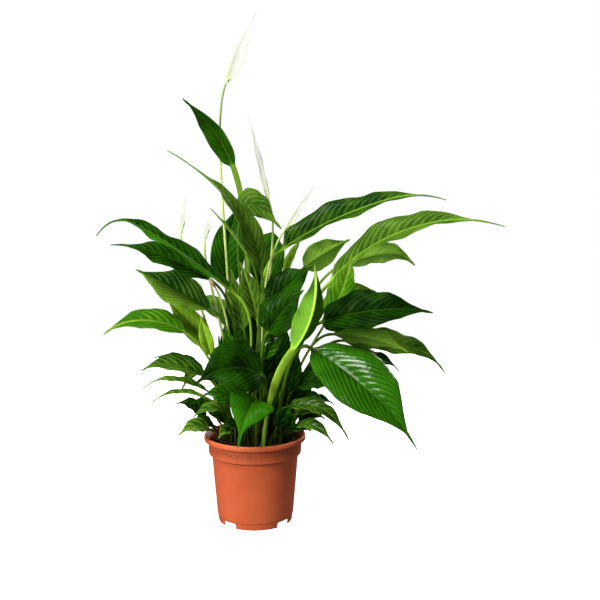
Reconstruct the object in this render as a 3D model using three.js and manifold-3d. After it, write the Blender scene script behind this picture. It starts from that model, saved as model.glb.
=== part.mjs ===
// A peace lily in its plastic nursery pot: a thin stepped pot, the soil in it, and the plant, with each large
// leaf, each young shoot and each bloom's stalk, hood and spike as a solid of its own.
// Millimetres, +Z up, front towards -Y. The origin is the middle of the pot's underside.
import * as THREE from "three";
import { mergeVertices } from "three/addons/utils/BufferGeometryUtils.js";
import Module from "manifold-3d";

const wasm = await Module();
wasm.setup();

// ---- driving dimensions ----
const GAP = 0.3; // clearance between neighbours

const POT_HEIGHT = 103;
const RIM_RADIUS = 60;
const LIP_HEIGHT = 6; // rolled lip round the rim
const LIP_INNER_RADIUS = 57;
const COLLAR_RADIUS = 55; // just under the lip
const COLLAR_FOOT_RADIUS = 54.4;
const COLLAR_HEIGHT = 24; // from the rim's top down to the step
const STEP_RISE = 2; // the step's slope
const BODY_RADIUS = 50.8; // just under the step
const FOOT_RADIUS = 44.2; // at the ground
const WALL = 1.3;
const FLOOR_Z = 7; // underside of the raised floor
const FLOOR_THICKNESS = 1.6;
const POT_SIDES = 38;
const FEET = 4;
const FOOT_ANGLE = 66; // each foot's share of the turn, in degrees
const FRONT_FOOT_TURN = 5; // the front foot sits a little to the right
const NOTCH_HEIGHT = 6.5;
const PAD_RADIUS = 14; // flat pad in the middle of the floor, level with the feet
const DRAIN_HOLES = 4;
const DRAIN_RADIUS = 4;
const DRAIN_CIRCLE = 30; // distance of the drain holes from the axis

const SOIL_TOP = 93;
const SOIL_LUMP = 1.6; // height of the lumps in its surface
const STEM_DEPTH = 14; // how far a stem goes down into the soil
const HOLE_SIDES = 5;

const BLADE_THICKNESS = 0.8;
const RIB_DEPTH = 1.1; // how far the midrib stands out below the blade
const SHEATH_WIDENING = 0.7; // a petiole's winged sheath, as a share of its radius
const SHEATH_LENGTH = 0.4; // share of the petiole that is sheathed
const WING_FROM = 0.2; // where on a winged petiole its wings start
const WING_OVER = 0.4; // share of the petiole over which they grow
const EDGE_WAVES = 3.2; // waves along a blade's edge
const DROOP_FROM = 0.7; // share of the blade from which its tip hangs
const WIDEST = 0.4; // where a blade is widest, as a share of its length
const DRIP = 0.05; // share of a blade that is its thread-like tip
const FULLNESS = 0.8; // 1 gives an ellipse's ends, less gives fuller ones
const POINTING = 0.55; // how much narrower the tip is than an ellipse's
const FACE_AT = 0.45; // where on the blade its face direction holds
const TIP_HALF_WIDTH = 0.7; // of its thread-like tip
const FLAT_BY = 0.1; // share of the blade over which the petiole flattens into it

const EDGE_WAVE_SHIFT = 1.3; // how far the right edge's waves lag the left's
const ARCH = 0.12; // how far each half of a blade arches, as a share of its half width
const FLATTENING = 0.4; // how much of the fold is lost towards the tip
const LARGE_WIDTH = 39; // blades wider than this get more facets

const PETIOLE_RADII = [1.1, 2]; // of the narrowest and the widest leaf
const PETIOLE_WIDTHS = [14, 58]; // the blades' widths that go with them
const CROWN_SPARE = 0.4; // room round a shoot's crown in the soil
const STRAIGHT_RISE = 0.45; // share of a stem's length that goes straight up
const LEAN_AT_FOOT = 0.12; // how far a stem leans before it bends
const PETIOLE_BEND = 0.22; // share of a petiole that bends into its blade
const STALK_BEND = 0.12; // the same for a bloom's stalk

const SPADIX_RADIUS = 3.4;
const SPADIX_SHARE = 0.12; // the spike's radius in a narrow hood, as a share of its width
const STIPE_LENGTH = 6;
const STIPE_RADIUS = 0.9;
const STIPE_START = 2.5; // above the stalk's end
const STIPE_FORWARD = 1.9; // in front of the hood's foot
const SPADIX_LEAN = 3; // how far its top leans out of the hood
const KNOB = 0.86; // every other knob of the spike lies in by this much
const HOOD_FOLD = 30;
const HOOD_WAVE = 0.6;
const HOOD_CUP = 0.22; // depth of the hood, as a share of its width
const HOOD_FLAT_BY = 0.15;
const HOOD_FOOT_RADIUS = 1.1;
const STALK_RADIUS = 1.6;
const STALK_TOP_RADIUS = 1.1;

// ---- finishes ----
const finish = (color, roughness) => new THREE.MeshStandardMaterial({ color, roughness, metalness: 0 });
const POT_PLASTIC = finish(0xc4643f, 0.45);
const SOIL = finish(0x2a1d16, 0.95);
const LEAF = { dark: finish(0x1d5c22, 0.35), mid: finish(0x33802a, 0.4), young: finish(0x74ab3a, 0.45) };
const STALK_GREEN = finish(0x93b35a, 0.5);
const SPATHE_WHITE = finish(0xf3f4ea, 0.5);
const SPADIX_CREAM = finish(0xe8e2b4, 0.7);
const WITHERED = finish(0xb58a72, 0.8);

// ---- the plant, leaf by leaf ----
// root: where the petiole leaves the soil. base, middle, tip: three points of the blade's midrib. face: the
// way the blade's upper side looks. fold: how far each half is lifted, in degrees. twist: turn from base to
// tip. droop: how far the last part of the tip hangs. drip: share of the blade that is a thread-like tip.
// widest: where the blade is widest. wing: how far a flat petiole's wings reach. wave: height of the waves in
// its edge.
const LEAVES = [
  // the crown's tall leaves, left of the middle
  { name: "leaf_01", root: [-9, 10], base: [-23, 8, 412], middle: [-44, 0, 453], tip: [-77, -18, 487],
    width: 28, face: [-0.55, -0.8, 0.1], fold: 24, twist: 0, droop: 0, widest: 0.38, wing: 2.4, wave: 0.5,
    tone: "dark" },
  { name: "leaf_02", root: [7, -9], base: [10, -15, 290], middle: [-22, -29, 370], tip: [-92, -36, 430],
    width: 31, face: [0.66, -0.5, 0.5], fold: 18, twist: 105, droop: 0, drip: 0.08, widest: 0.33,
    wave: 1.5, tone: "mid" },
  { name: "leaf_03", root: [0, 1], base: [-15, 1, 358], middle: [0, -4, 370], tip: [32, -9, 343],
    width: 38, face: [0, -0.85, 0.5], fold: 14, twist: 0, droop: 0, wave: 2.5, tone: "mid" },
  { name: "leaf_04", root: [-4, -17], base: [-4, -36, 313], middle: [-23, -41, 341],
    tip: [-44, -47, 367], width: 14, face: [0.7, -0.1, 0.7], fold: 20, twist: 0, droop: 0, wave: 0.5,
    tone: "mid" },
  { name: "leaf_05", root: [-15, 18], base: [-35, 34, 269], middle: [-33, 40, 322], tip: [-21, 46, 370],
    width: 42, face: [0.2, -0.9, 0.2], fold: 18, twist: 0, droop: 0, wave: 1.5, tone: "dark" },
  { name: "leaf_06", root: [-10, -13], base: [-17, -24, 267], middle: [-102, -34, 333],
    tip: [-170, -47, 367], width: 37, face: [0, -0.3, 0.95], fold: 18, twist: -10, droop: 30, drip: 0.12,
    widest: 0.35, wave: 2.5, tone: "dark" },
  { name: "leaf_07", root: [-17, -9], base: [-48, -10, 284], middle: [-103, -12, 313],
    tip: [-163, -8, 329], width: 34, face: [0, -0.65, 0.75], fold: 16, twist: 0, droop: 4, drip: 0.12,
    widest: 0.42, wave: 2.5, tone: "dark" },
  { name: "leaf_08", root: [-20, 3], base: [-49, 2, 248], middle: [-89, 8, 268], tip: [-139, 14, 297],
    width: 48, face: [-0.1, -0.7, 0.7], fold: 30, twist: 0, droop: 2, widest: 0.54, wave: 2, tone: "mid" },
  { name: "leaf_09", root: [-26, -3], base: [-78, -6, 222], middle: [-124, -10, 238],
    tip: [-172, -16, 227], width: 34, face: [0, -0.62, 0.78], fold: 20, twist: 0, droop: 4, wave: 1,
    tone: "young" },
  // the crown's tall leaves, right of the middle
  { name: "leaf_10", root: [14, 9], base: [29, 5, 316], middle: [119, 16, 363], tip: [224, 25, 391],
    width: 46, face: [-0.15, -0.56, 0.83], fold: 34, twist: 0, droop: 15, drip: 0.11, widest: 0.36,
    wave: 2.5, tone: "mid" },
  { name: "leaf_11", root: [23, -2], base: [84, -2, 278], middle: [172, -4, 340], tip: [285, -12, 354],
    width: 44, face: [-0.1, -0.55, 0.83], fold: 34, twist: 0, droop: 8, drip: 0.12, widest: 0.5, wave: 2.5,
    tone: "mid" },
  { name: "leaf_12", root: [18, 18], base: [57, 42, 294], middle: [83, 50, 312], tip: [114, 60, 328],
    width: 36, face: [0.2, 0.8, 0.4], fold: 10, twist: 0, droop: 0, wave: 1, tone: "mid" },
  { name: "leaf_13", root: [26, 10], base: [101, 40, 297], middle: [152, 48, 311], tip: [193, 56, 302],
    width: 36, face: [0.1, 0.75, 0.6], fold: 12, twist: 0, droop: 6, wave: 1.5, tone: "mid" },
  { name: "leaf_14", root: [28, -9], base: [85, -19, 242], middle: [103, -18, 280], tip: [111, -26, 314],
    width: 32, face: [-0.4, -0.85, 0.2], fold: 18, twist: 0, droop: 0, wave: 1.5, tone: "young" },
  { name: "leaf_15", root: [32, 4], base: [79, 14, 246], middle: [109, 16, 267], tip: [144, 18, 272],
    width: 26, face: [0, -0.75, 0.65], fold: 18, twist: 0, droop: 5, wave: 1, tone: "young" },
  { name: "leaf_16", root: [25, -18], base: [75, -28, 238], middle: [132, -52, 255],
    tip: [199, -54, 256], width: 52, face: [0, -0.75, 0.65], fold: 16, twist: 0, droop: 3, wave: 2.5,
    tone: "dark" },
  { name: "leaf_17", root: [34, 13], base: [100, 18, 210], middle: [168, 18, 206], tip: [225, 12, 186],
    width: 38, face: [0.2, -0.6, 0.75], fold: 14, twist: 0, droop: 14, wave: 2, tone: "mid" },
  { name: "leaf_18", root: [33, -4], base: [90, -8, 222], middle: [136, -14, 218], tip: [177, -22, 205],
    width: 36, face: [0.1, 0.7, 0.6], fold: 12, twist: 0, droop: 2, wave: 1.5, tone: "young" },
  { name: "leaf_19", root: [24, -28], base: [63, -38, 212], middle: [121, -80, 177],
    tip: [176, -110, 124], width: 78, face: [0.2, -0.75, 0.65], fold: 12, twist: 0, droop: 8, drip: 0.08,
    widest: 0.48, wave: 3, tone: "dark" },
  { name: "leaf_20", root: [28, 21], base: [108, 24, 178], middle: [142, 28, 186], tip: [173, 32, 176],
    width: 30, face: [0, -0.5, 0.85], fold: 14, twist: 0, droop: 6, wave: 1.5, tone: "dark" },
  // upright and inner leaves
  { name: "leaf_21", root: [11, -33], base: [45, -59, 211], middle: [67, -72, 256], tip: [69, -64, 307],
    width: 40, face: [-0.25, 0.95, 0.1], fold: 50, twist: 0, droop: 0, widest: 0.36, wing: 3.4, wave: 1,
    tone: "young" },
  { name: "leaf_22", root: [16, -14], base: [18, -24, 259], middle: [41, -19, 281], tip: [67, -14, 301],
    width: 46, face: [-0.3, -0.7, 0.6], fold: 14, twist: 0, droop: 0, wave: 1.5, tone: "dark" },
  { name: "leaf_23", root: [15, -26], base: [16, -38, 227], middle: [33, -41, 252], tip: [57, -42, 277],
    width: 50, face: [-0.3, -0.8, 0.5], fold: 14, twist: 0, droop: 0, wave: 1.5, tone: "dark" },
  { name: "leaf_24", root: [-1, -5], base: [4, -9, 238], middle: [-4, -7, 270], tip: [-16, -2, 305],
    width: 28, face: [0.4, -0.9, 0.1], fold: 22, twist: 0, droop: 0, wave: 1, tone: "mid" },
  { name: "leaf_25", root: [-9, -5], base: [-12, -2, 225], middle: [-19, 1, 259], tip: [-27, 6, 296],
    width: 26, face: [-0.3, -0.9, 0.1], fold: 22, twist: 0, droop: 0, wave: 1, tone: "mid" },
  { name: "leaf_26", root: [9, 15], base: [37, 18, 286], middle: [45, 22, 309], tip: [55, 27, 333],
    width: 18, face: [-0.7, -0.6, 0.2], fold: 40, twist: 0, droop: 0, wave: 0.5, tone: "young" },
  { name: "leaf_27", root: [-2, -25], base: [11, -46, 181], middle: [-21, -66, 194],
    tip: [-62, -86, 182], width: 68, face: [-0.1, -0.8, 0.6], fold: 10, twist: 0, droop: 4, drip: 0.08,
    wave: 1.5, tone: "dark" },
  { name: "leaf_28", root: [3, -37], base: [4, -52, 155], middle: [-4, -72, 147], tip: [-14, -90, 117],
    width: 52, face: [0, -0.9, 0.42], fold: 6, twist: 0, droop: 6, drip: 0.08, widest: 0.26, wave: 1.5,
    tone: "dark" },
  { name: "leaf_29", root: [34, -14], base: [48, -16, 160], middle: [76, -18, 170], tip: [100, -22, 158],
    width: 30, face: [0, -0.6, 0.8], fold: 14, twist: 0, droop: 2, wave: 1.5, tone: "dark" },
  { name: "leaf_30", root: [31, -34], base: [39, -36, 142], middle: [74, -50, 146], tip: [107, -66, 118],
    width: 22, face: [0.2, -0.6, 0.75], fold: 14, twist: 0, droop: 5, wave: 1.5, tone: "mid" },
  // the back of the crown
  { name: "leaf_31", root: [3, 21], base: [12, 46, 262], middle: [4, 98, 318], tip: [-14, 148, 322],
    width: 54, face: [0, -0.3, 0.95], fold: 20, twist: 0, droop: 10, wave: 2.5, tone: "dark" },
  { name: "leaf_32", root: [-11, 25], base: [-32, 56, 214], middle: [-66, 100, 246], tip: [-104, 138, 232],
    width: 50, face: [0, 0.1, 1], fold: 18, twist: 0, droop: 8, wave: 2.5, tone: "mid" },
  { name: "leaf_33", root: [15, 26], base: [46, 62, 206], middle: [84, 108, 232], tip: [122, 146, 214],
    width: 52, face: [0, 0.1, 1], fold: 18, twist: 0, droop: 8, wave: 2.5, tone: "mid" },
  { name: "leaf_34", root: [2, 30], base: [2, 70, 168], middle: [6, 118, 178], tip: [12, 158, 142],
    width: 52, face: [0, 0.3, 0.95], fold: 16, twist: 0, droop: 6, wave: 2.5, tone: "dark" },
];

// Young offset plants: their leaves spring from one short crown.
const SHOOTS = [
  { name: "shoot_1", root: [-27, 7], leaves: [
    { base: [-54, 12, 200], middle: [-80, 20, 234], tip: [-107, 28, 259],
      width: 32, face: [0.3, -0.8, 0.5], fold: 16, twist: 0, droop: 0, wave: 0.6, tone: "young" },
    { base: [-60, 12, 174], middle: [-92, 20, 188], tip: [-123, 28, 190], width: 20,
      face: [0, -0.3, 0.95], fold: 20, twist: 0, droop: 3, wave: 0.8, tone: "dark" },
    { base: [-55, 4, 152], middle: [-94, 8, 165], tip: [-135, 10, 160], width: 16, face: [0, -0.2, 1],
      fold: 20, twist: 0, droop: 8, wave: 0.8, tone: "young" },
  ] },
  { name: "shoot_2", root: [-27, -11], leaves: [
    { base: [-49, -22, 199], middle: [-55, -24, 223], tip: [-60, -24, 245],
      width: 17, face: [0.2, -0.9, 0.3], fold: 30, twist: 0, droop: 0, wave: 0.5, tone: "young" },
    { base: [-56, -12, 173], middle: [-94, -18, 188], tip: [-128, -26, 186],
      width: 28, face: [0, -0.5, 0.85], fold: 20, twist: 0, droop: 4, wave: 0.8, tone: "mid" },
    { base: [-52, -20, 148], middle: [-84, -26, 158], tip: [-116, -34, 150], width: 13,
      face: [0, -0.2, 0.95], fold: 20, twist: 0, droop: 3, wave: 0.6, tone: "mid" },
  ] },
  { name: "shoot_3", root: [-26, -24], leaves: [
    { base: [-30, -28, 136], middle: [-48, -36, 142], tip: [-68, -42, 134],
      width: 20, face: [0, -0.4, 0.9], fold: 16, twist: 0, droop: 2, wave: 0.6, tone: "mid" },
    { base: [-50, -32, 116], middle: [-66, -38, 122], tip: [-84, -44, 114], width: 20,
      face: [-0.1, -0.7, 0.7], fold: 14, twist: 0, droop: 2, wave: 0.6, tone: "mid" },
    { base: [-24, -36, 112], middle: [-31, -46, 118], tip: [-38, -54, 112],
      width: 14, face: [0, -0.6, 0.8], fold: 14, twist: 0, droop: 1, wave: 0.5, tone: "mid" },
  ] },
  { name: "shoot_4", root: [-14, -20], leaves: [
    { base: [-14, -30, 144], middle: [-34, -38, 158], tip: [-56, -44, 160],
      width: 26, face: [0, -0.75, 0.65], fold: 14, twist: 0, droop: 2, wave: 0.6, tone: "dark" },
    { base: [-20, -22, 192], middle: [-27, -22, 212], tip: [-32, -18, 234],
      width: 18, face: [0, -0.9, 0.3], fold: 20, twist: 0, droop: 0, wave: 0.5, tone: "dark" },
  ] },
  { name: "shoot_5", root: [38, -24], leaves: [
    { base: [48, -40, 120], middle: [68, -52, 126], tip: [90, -64, 110], width: 18,
      face: [0, -0.5, 0.85], fold: 16, twist: 0, droop: 2, wave: 0.6, tone: "mid" },
    { base: [46, -24, 128], middle: [60, -28, 138], tip: [76, -34, 134],
      width: 20, face: [0, -0.5, 0.85], fold: 16, twist: 0, droop: 2, wave: 0.6, tone: "mid" },
  ] },
  { name: "shoot_6", root: [42, 1], leaves: [
    { base: [46, -2, 134], middle: [64, -4, 146], tip: [84, -6, 140],
      width: 24, face: [0, -0.5, 0.85], fold: 16, twist: 0, droop: 2, wave: 0.6, tone: "dark" },
    { base: [54, 4, 162], middle: [78, 6, 172], tip: [100, 6, 164],
      width: 28, face: [0, -0.6, 0.8], fold: 16, twist: 0, droop: 2, wave: 0.6, tone: "dark" },
  ] },
  { name: "shoot_7", root: [-29, 22], leaves: [
    { base: [-48, 42, 150], middle: [-74, 66, 160], tip: [-98, 88, 138],
      width: 32, face: [-0.1, 0.3, 0.95], fold: 16, twist: 0, droop: 4, wave: 0.8, tone: "mid" },
    { base: [-36, 40, 122], middle: [-46, 62, 130], tip: [-56, 82, 116],
      width: 24, face: [0, 0.4, 0.9], fold: 16, twist: 0, droop: 2, wave: 0.6, tone: "mid" },
  ] },
  { name: "shoot_8", root: [24, 32], leaves: [
    { base: [52, 56, 152], middle: [78, 78, 160], tip: [100, 98, 138],
      width: 32, face: [0.1, 0.3, 0.95], fold: 16, twist: 0, droop: 4, wave: 0.8, tone: "mid" },
    { base: [34, 56, 122], middle: [42, 78, 130], tip: [48, 98, 116],
      width: 26, face: [0, 0.4, 0.9], fold: 16, twist: 0, droop: 2, wave: 0.6, tone: "mid" },
  ] },
];

// Blooms: root, the hood's foot and tip, the way its inside looks, its width, the spike's length, and the
// share of the stalk that bends.
const BLOOMS = [
  { name: "bloom_1", root: [-24, 12], foot: [-31, 10, 507], tip: [4, 4, 583], width: 24,
    face: [0.7, 0.75, 0], spike: 36 },
  { name: "bloom_2", root: [3, 11], foot: [20, 12, 364], tip: [-6, 8, 470], width: 10,
    face: [-0.75, 0.65, 0], spike: 30 },
  { name: "bloom_3", root: [8, -1], foot: [35, -4, 341], tip: [69, -11, 391], width: 10,
    face: [0.6, 0.8, -0.3], bend: 0.25, spike: 16 },
  { name: "bloom_4", root: [-31, 15], foot: [-90, 46, 334], tip: [-84, 46, 377], width: 8,
    face: [0.75, 0.65, 0], spike: 9 },
  { name: "bloom_5", root: [-22, 17], foot: [-59, 26, 328], tip: [-51, 28, 369], width: 8,
    face: [0.75, 0.65, 0], spike: 9 },
];
const WITHERED_BLOOM = {
  name: "withered_bloom", root: [-21.5, -14], foot: [-44, -20, 279], tip: [-49, -22, 288],
};

// ---- solids ----
const vector = (p) => new THREE.Vector3(...p);
const radians = THREE.MathUtils.degToRad;
const smooth = (t) => THREE.MathUtils.smoothstep(t, 0, 1);
const mix = THREE.MathUtils.lerp;

// A three.js geometry as a solid for joining and cutting.
function solid(geometry) {
  const bare = geometry.clone();
  bare.deleteAttribute("normal");
  bare.deleteAttribute("uv");
  const merged = mergeVertices(bare, 1e-4);
  return new wasm.Manifold(new wasm.Mesh({
    numProp: 3,
    vertProperties: new Float32Array(merged.attributes.position.array),
    triVerts: new Uint32Array(merged.index.array),
  }));
}

// A solid back as a three.js geometry.
function geometryOf(body) {
  const mesh = body.getMesh();
  const geometry = new THREE.BufferGeometry();
  geometry.setAttribute("position", new THREE.BufferAttribute(mesh.vertProperties, 3));
  geometry.setIndex(new THREE.BufferAttribute(mesh.triVerts, 1));
  return geometry;
}

// A closed skin over rings of points. Each ring runs along the upper face from left to right and back along
// the lower face, and both faces are split into triangles alike, so a waved blade's faces never cross.
function skin(rings) {
  const count = rings[0].length;
  const half = count / 2;
  const under = (j) => count - 1 - j; // the lower point below upper point j
  const at = (i, j) => i * count + ((j + count) % count);
  const faces = [];
  for (let i = 0; i + 1 < rings.length; i++) {
    for (let j = 0; j + 1 < half; j++) {
      faces.push(at(i, j), at(i + 1, j + 1), at(i + 1, j));
      faces.push(at(i, j), at(i, j + 1), at(i + 1, j + 1));
      faces.push(at(i, under(j)), at(i + 1, under(j)), at(i + 1, under(j + 1)));
      faces.push(at(i, under(j)), at(i + 1, under(j + 1)), at(i, under(j + 1)));
    }
    faces.push(at(i, half - 1), at(i, half), at(i + 1, half));
    faces.push(at(i, half - 1), at(i + 1, half), at(i + 1, half - 1));
    faces.push(at(i, count - 1), at(i, 0), at(i + 1, 0));
    faces.push(at(i, count - 1), at(i + 1, 0), at(i + 1, count - 1));
  }
  const last = rings.length - 1;
  for (let j = 0; j + 1 < half; j++) {
    faces.push(at(0, j), at(0, under(j)), at(0, under(j + 1)));
    faces.push(at(0, j), at(0, under(j + 1)), at(0, j + 1));
    faces.push(at(last, j), at(last, under(j + 1)), at(last, under(j)));
    faces.push(at(last, j), at(last, j + 1), at(last, under(j + 1)));
  }
  const geometry = new THREE.BufferGeometry();
  const numbers = rings.flat().flatMap((p) => p.toArray());
  geometry.setAttribute("position", new THREE.Float32BufferAttribute(numbers, 3));
  geometry.setIndex(faces);
  return geometry;
}

// Directions along a line of points, and cross directions carried along it without twisting: the one nearest
// to "face" at point "start", and the one to its side.
function frames(points, face, start) {
  const count = points.length;
  const along = points.map((_, i) =>
    points[Math.min(i + 1, count - 1)].clone().sub(points[Math.max(i - 1, 0)]).normalize());
  const across = (direction, wish) =>
    wish.clone().addScaledVector(direction, -wish.dot(direction)).normalize();
  const up = [];
  up[start] = across(along[start], face);
  for (let i = start + 1; i < count; i++) up[i] = across(along[i], up[i - 1]);
  for (let i = start - 1; i >= 0; i--) up[i] = across(along[i], up[i + 1]);
  return points.map((_, i) => ({ along: along[i], up: up[i], side: along[i].clone().cross(up[i]) }));
}

// ---- pot and soil ----

// The pot's outside from the ground up to the rim's top, as [radius, height].
const potOutside = () => [
  [FOOT_RADIUS, 0],
  [BODY_RADIUS, POT_HEIGHT - COLLAR_HEIGHT],
  [COLLAR_FOOT_RADIUS, POT_HEIGHT - COLLAR_HEIGHT + STEP_RISE],
  [COLLAR_RADIUS, POT_HEIGHT - LIP_HEIGHT - 1],
  [RIM_RADIUS - 1, POT_HEIGHT - LIP_HEIGHT],
  [RIM_RADIUS, POT_HEIGHT - LIP_HEIGHT / 2],
  [RIM_RADIUS - 1, POT_HEIGHT - 0.5],
  [RIM_RADIUS - 2, POT_HEIGHT],
];

// The radius of the pot's inside at a height.
function insideRadius(z) {
  const step = POT_HEIGHT - COLLAR_HEIGHT;
  if (z < step) return mix(FOOT_RADIUS, BODY_RADIUS, z / step) - WALL;
  return mix(COLLAR_FOOT_RADIUS, COLLAR_RADIUS, (z - step) / COLLAR_HEIGHT) - WALL;
}

const lathe = (profile, sides) => new THREE.LatheGeometry(profile.map((p) => new THREE.Vector2(...p)), sides)
  .rotateX(Math.PI / 2);

function wedge(inner, outer, low, high, fromDegrees, turnDegrees) {
  const shape = new THREE.Shape();
  const start = radians(fromDegrees);
  const end = radians(fromDegrees + turnDegrees);
  shape.absarc(0, 0, outer, start, end, false);
  shape.absarc(0, 0, inner, end, start, true);
  return new THREE.ExtrudeGeometry(shape, { depth: high - low, bevelEnabled: false, curveSegments: 4 })
    .translate(0, 0, low);
}

const cylinder = (radius, low, high, sides, x = 0, y = 0) =>
  new THREE.CylinderGeometry(radius, radius, high - low, sides).rotateX(Math.PI / 2)
    .translate(x, y, (low + high) / 2);

function potGeometry() {
  const step = POT_HEIGHT - COLLAR_HEIGHT;
  const floorTop = FLOOR_Z + FLOOR_THICKNESS;
  const profile = [
    [0, FLOOR_Z],
    [insideRadius(FLOOR_Z), FLOOR_Z],
    [insideRadius(0), 0],
    ...potOutside(),
    [LIP_INNER_RADIUS, POT_HEIGHT - 0.5],
    [insideRadius(POT_HEIGHT - LIP_HEIGHT), POT_HEIGHT - LIP_HEIGHT],
    [insideRadius(step + STEP_RISE), step + STEP_RISE],
    [insideRadius(step - 0.01), step],
    [insideRadius(floorTop), floorTop],
    [0, floorTop],
  ];
  let body = solid(lathe(profile, POT_SIDES));
  const pad = cylinder(PAD_RADIUS, 0, FLOOR_Z + FLOOR_THICKNESS / 2, POT_SIDES / 2);
  body = body.add(solid(pad));
  for (let i = 0; i < FEET; i++) {
    const turn = 360 / FEET;
    const notch = turn - FOOT_ANGLE;
    const middle = -90 + FRONT_FOOT_TURN + (i + 0.5) * turn;
    const gap = wedge(FOOT_RADIUS - 8, FOOT_RADIUS + 8, -1, NOTCH_HEIGHT, middle - notch / 2, notch);
    body = body.subtract(solid(gap));
  }
  for (let i = 0; i < DRAIN_HOLES; i++) {
    const angle = radians(FRONT_FOOT_TURN + i * (360 / DRAIN_HOLES));
    const x = DRAIN_CIRCLE * Math.cos(angle);
    const y = DRAIN_CIRCLE * Math.sin(angle);
    body = body.subtract(solid(cylinder(DRAIN_RADIUS, FLOOR_Z - 1, floorTop + 1, 10, x, y)));
  }
  return geometryOf(body);
}

const everyRoot = () => [...LEAVES, ...SHOOTS, ...BLOOMS, WITHERED_BLOOM].map((item) => ({
  at: item.root,
  radius: stemRadius(item),
}));

function soilGeometry() {
  const step = POT_HEIGHT - COLLAR_HEIGHT;
  const bottom = FLOOR_Z + FLOOR_THICKNESS + GAP;
  const edge = insideRadius(SOIL_TOP) - GAP;
  const profile = [
    [0, bottom],
    [insideRadius(bottom) - GAP - 0.1, bottom],
    [insideRadius(step - 0.01) - GAP - 0.1, step + STEP_RISE + 1],
    [edge, step + STEP_RISE + 2],
    [edge, SOIL_TOP - 1],
    [edge * 0.84, SOIL_TOP],
    [edge * 0.66, SOIL_TOP],
    [0, SOIL_TOP],
  ];
  const geometry = lathe(profile, POT_SIDES);
  const position = geometry.attributes.position;
  for (let i = 0; i < position.count; i++) {
    const x = position.getX(i);
    const y = position.getY(i);
    const z = position.getZ(i);
    const far = Math.hypot(x, y);
    if (z < SOIL_TOP - 0.5 || far < 1 || far > edge - 1) continue;
    position.setZ(i, z + SOIL_LUMP * Math.sin(0.9 * x + 0.4 * y) * Math.cos(0.7 * y - 0.3 * x));
  }
  let body = solid(geometry);
  for (const { at, radius } of everyRoot()) {
    const hole = (radius + GAP) / Math.cos(Math.PI / HOLE_SIDES);
    const depth = SOIL_TOP - STEM_DEPTH - GAP;
    body = body.subtract(solid(cylinder(hole, depth, SOIL_TOP + 5, HOLE_SIDES, ...at)));
  }
  return geometryOf(body);
}

// ---- leaves ----

// Half a blade's width at t, as a share of its widest: a full body that narrows into a thread-like tip.
function outline(t, { widest = WIDEST, drip = DRIP }) {
  const onBody = Math.min(t / (1 - drip), 0.9999);
  const swell = Math.sin(Math.PI * onBody ** (Math.log(0.5) / Math.log(widest))) ** FULLNESS;
  return swell * (1 - POINTING * Math.max(0, (onBody - DROOP_FROM) / (1 - DROOP_FROM)));
}

function petioleRadius(width) {
  const [least, most] = PETIOLE_WIDTHS;
  return mix(...PETIOLE_RADII, smooth((width - least) / (most - least)));
}

const sheathRadius = (leaf) => petioleRadius(leaf.width) * (1 + SHEATH_WIDENING);

// The room that a leaf, a shoot or a bloom's stalk needs where it enters the soil.
function stemRadius(item) {
  if (item.leaves) return Math.max(...item.leaves.map(sheathRadius)) + CROWN_SPARE;
  return item.base ? sheathRadius(item) : STALK_RADIUS;
}

const quadratic = (a, middle, b) => new THREE.QuadraticBezierCurve3(
  a, middle.clone().multiplyScalar(2).addScaledVector(a, -0.5).addScaledVector(b, -0.5), b);

// A stem's line from inside the soil to its end: straight up out of its hole, then bending towards its end.
function stemLine(root, end, endDirection, steps, bending) {
  const start = new THREE.Vector3(root[0], root[1], SOIL_TOP + 3);
  const reach = start.distanceTo(end);
  const rise = end.clone().sub(start).multiplyScalar(LEAN_AT_FOOT).setZ(reach * STRAIGHT_RISE);
  const bend = endDirection.clone().setLength(reach * bending);
  const curve = new THREE.CubicBezierCurve3(start, start.clone().add(rise), end.clone().sub(bend), end);
  const points = [new THREE.Vector3(root[0], root[1], SOIL_TOP - STEM_DEPTH)];
  for (let i = 0; i < steps; i++) points.push(curve.getPoint(i / steps));
  return points;
}

function leafGeometry(root, leaf) {
  const large = leaf.width > LARGE_WIDTH;
  const bladeSteps = large ? 10 : 6;
  const stemSteps = large ? 4 : 3;
  const shares = large ? [-1, -0.5, 0, 0.5, 1] : [-1, 0, 1];
  const blade = quadratic(vector(leaf.base), vector(leaf.middle), vector(leaf.tip));
  const stem = stemLine(root, vector(leaf.base), blade.getTangent(0), stemSteps, PETIOLE_BEND);
  const points = [...stem];
  for (let i = 0; i <= bladeSteps; i++) {
    const t = i / bladeSteps;
    const point = blade.getPoint(t);
    point.z -= leaf.droop * Math.max(0, (t - DROOP_FROM) / (1 - DROOP_FROM)) ** 2;
    points.push(point);
  }
  const thin = petioleRadius(leaf.width);
  const line = frames(points, vector(leaf.face), stem.length + Math.round(bladeSteps * FACE_AT));
  const rings = points.map((point, i) => {
    const t = Math.max(0, (i - stem.length) / bladeSteps);
    const onStem = Math.min(1, i / stem.length);
    const flat = smooth(t / FLAT_BY);
    const { up, side } = turned(line[i], radians(leaf.twist) * (t - FACE_AT));
    const wing = (leaf.wing ?? 0) * smooth((onStem - WING_FROM) / WING_OVER);
    const sheath = thin * (1 + SHEATH_WIDENING * smooth(1 - onStem / SHEATH_LENGTH)) + wing;
    const width = Math.max(outline(t, leaf) * leaf.width / 2, mix(thin, TIP_HALF_WIDTH, t));
    return bladeRing(point, up, side, shares, { t, flat, round: thin, sheath, width, leaf });
  });
  return skin(rings);
}

function turned({ up, side }, angle) {
  return {
    up: up.clone().multiplyScalar(Math.cos(angle)).addScaledVector(side, Math.sin(angle)),
    side: side.clone().multiplyScalar(Math.cos(angle)).addScaledVector(up, -Math.sin(angle)),
  };
}

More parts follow.
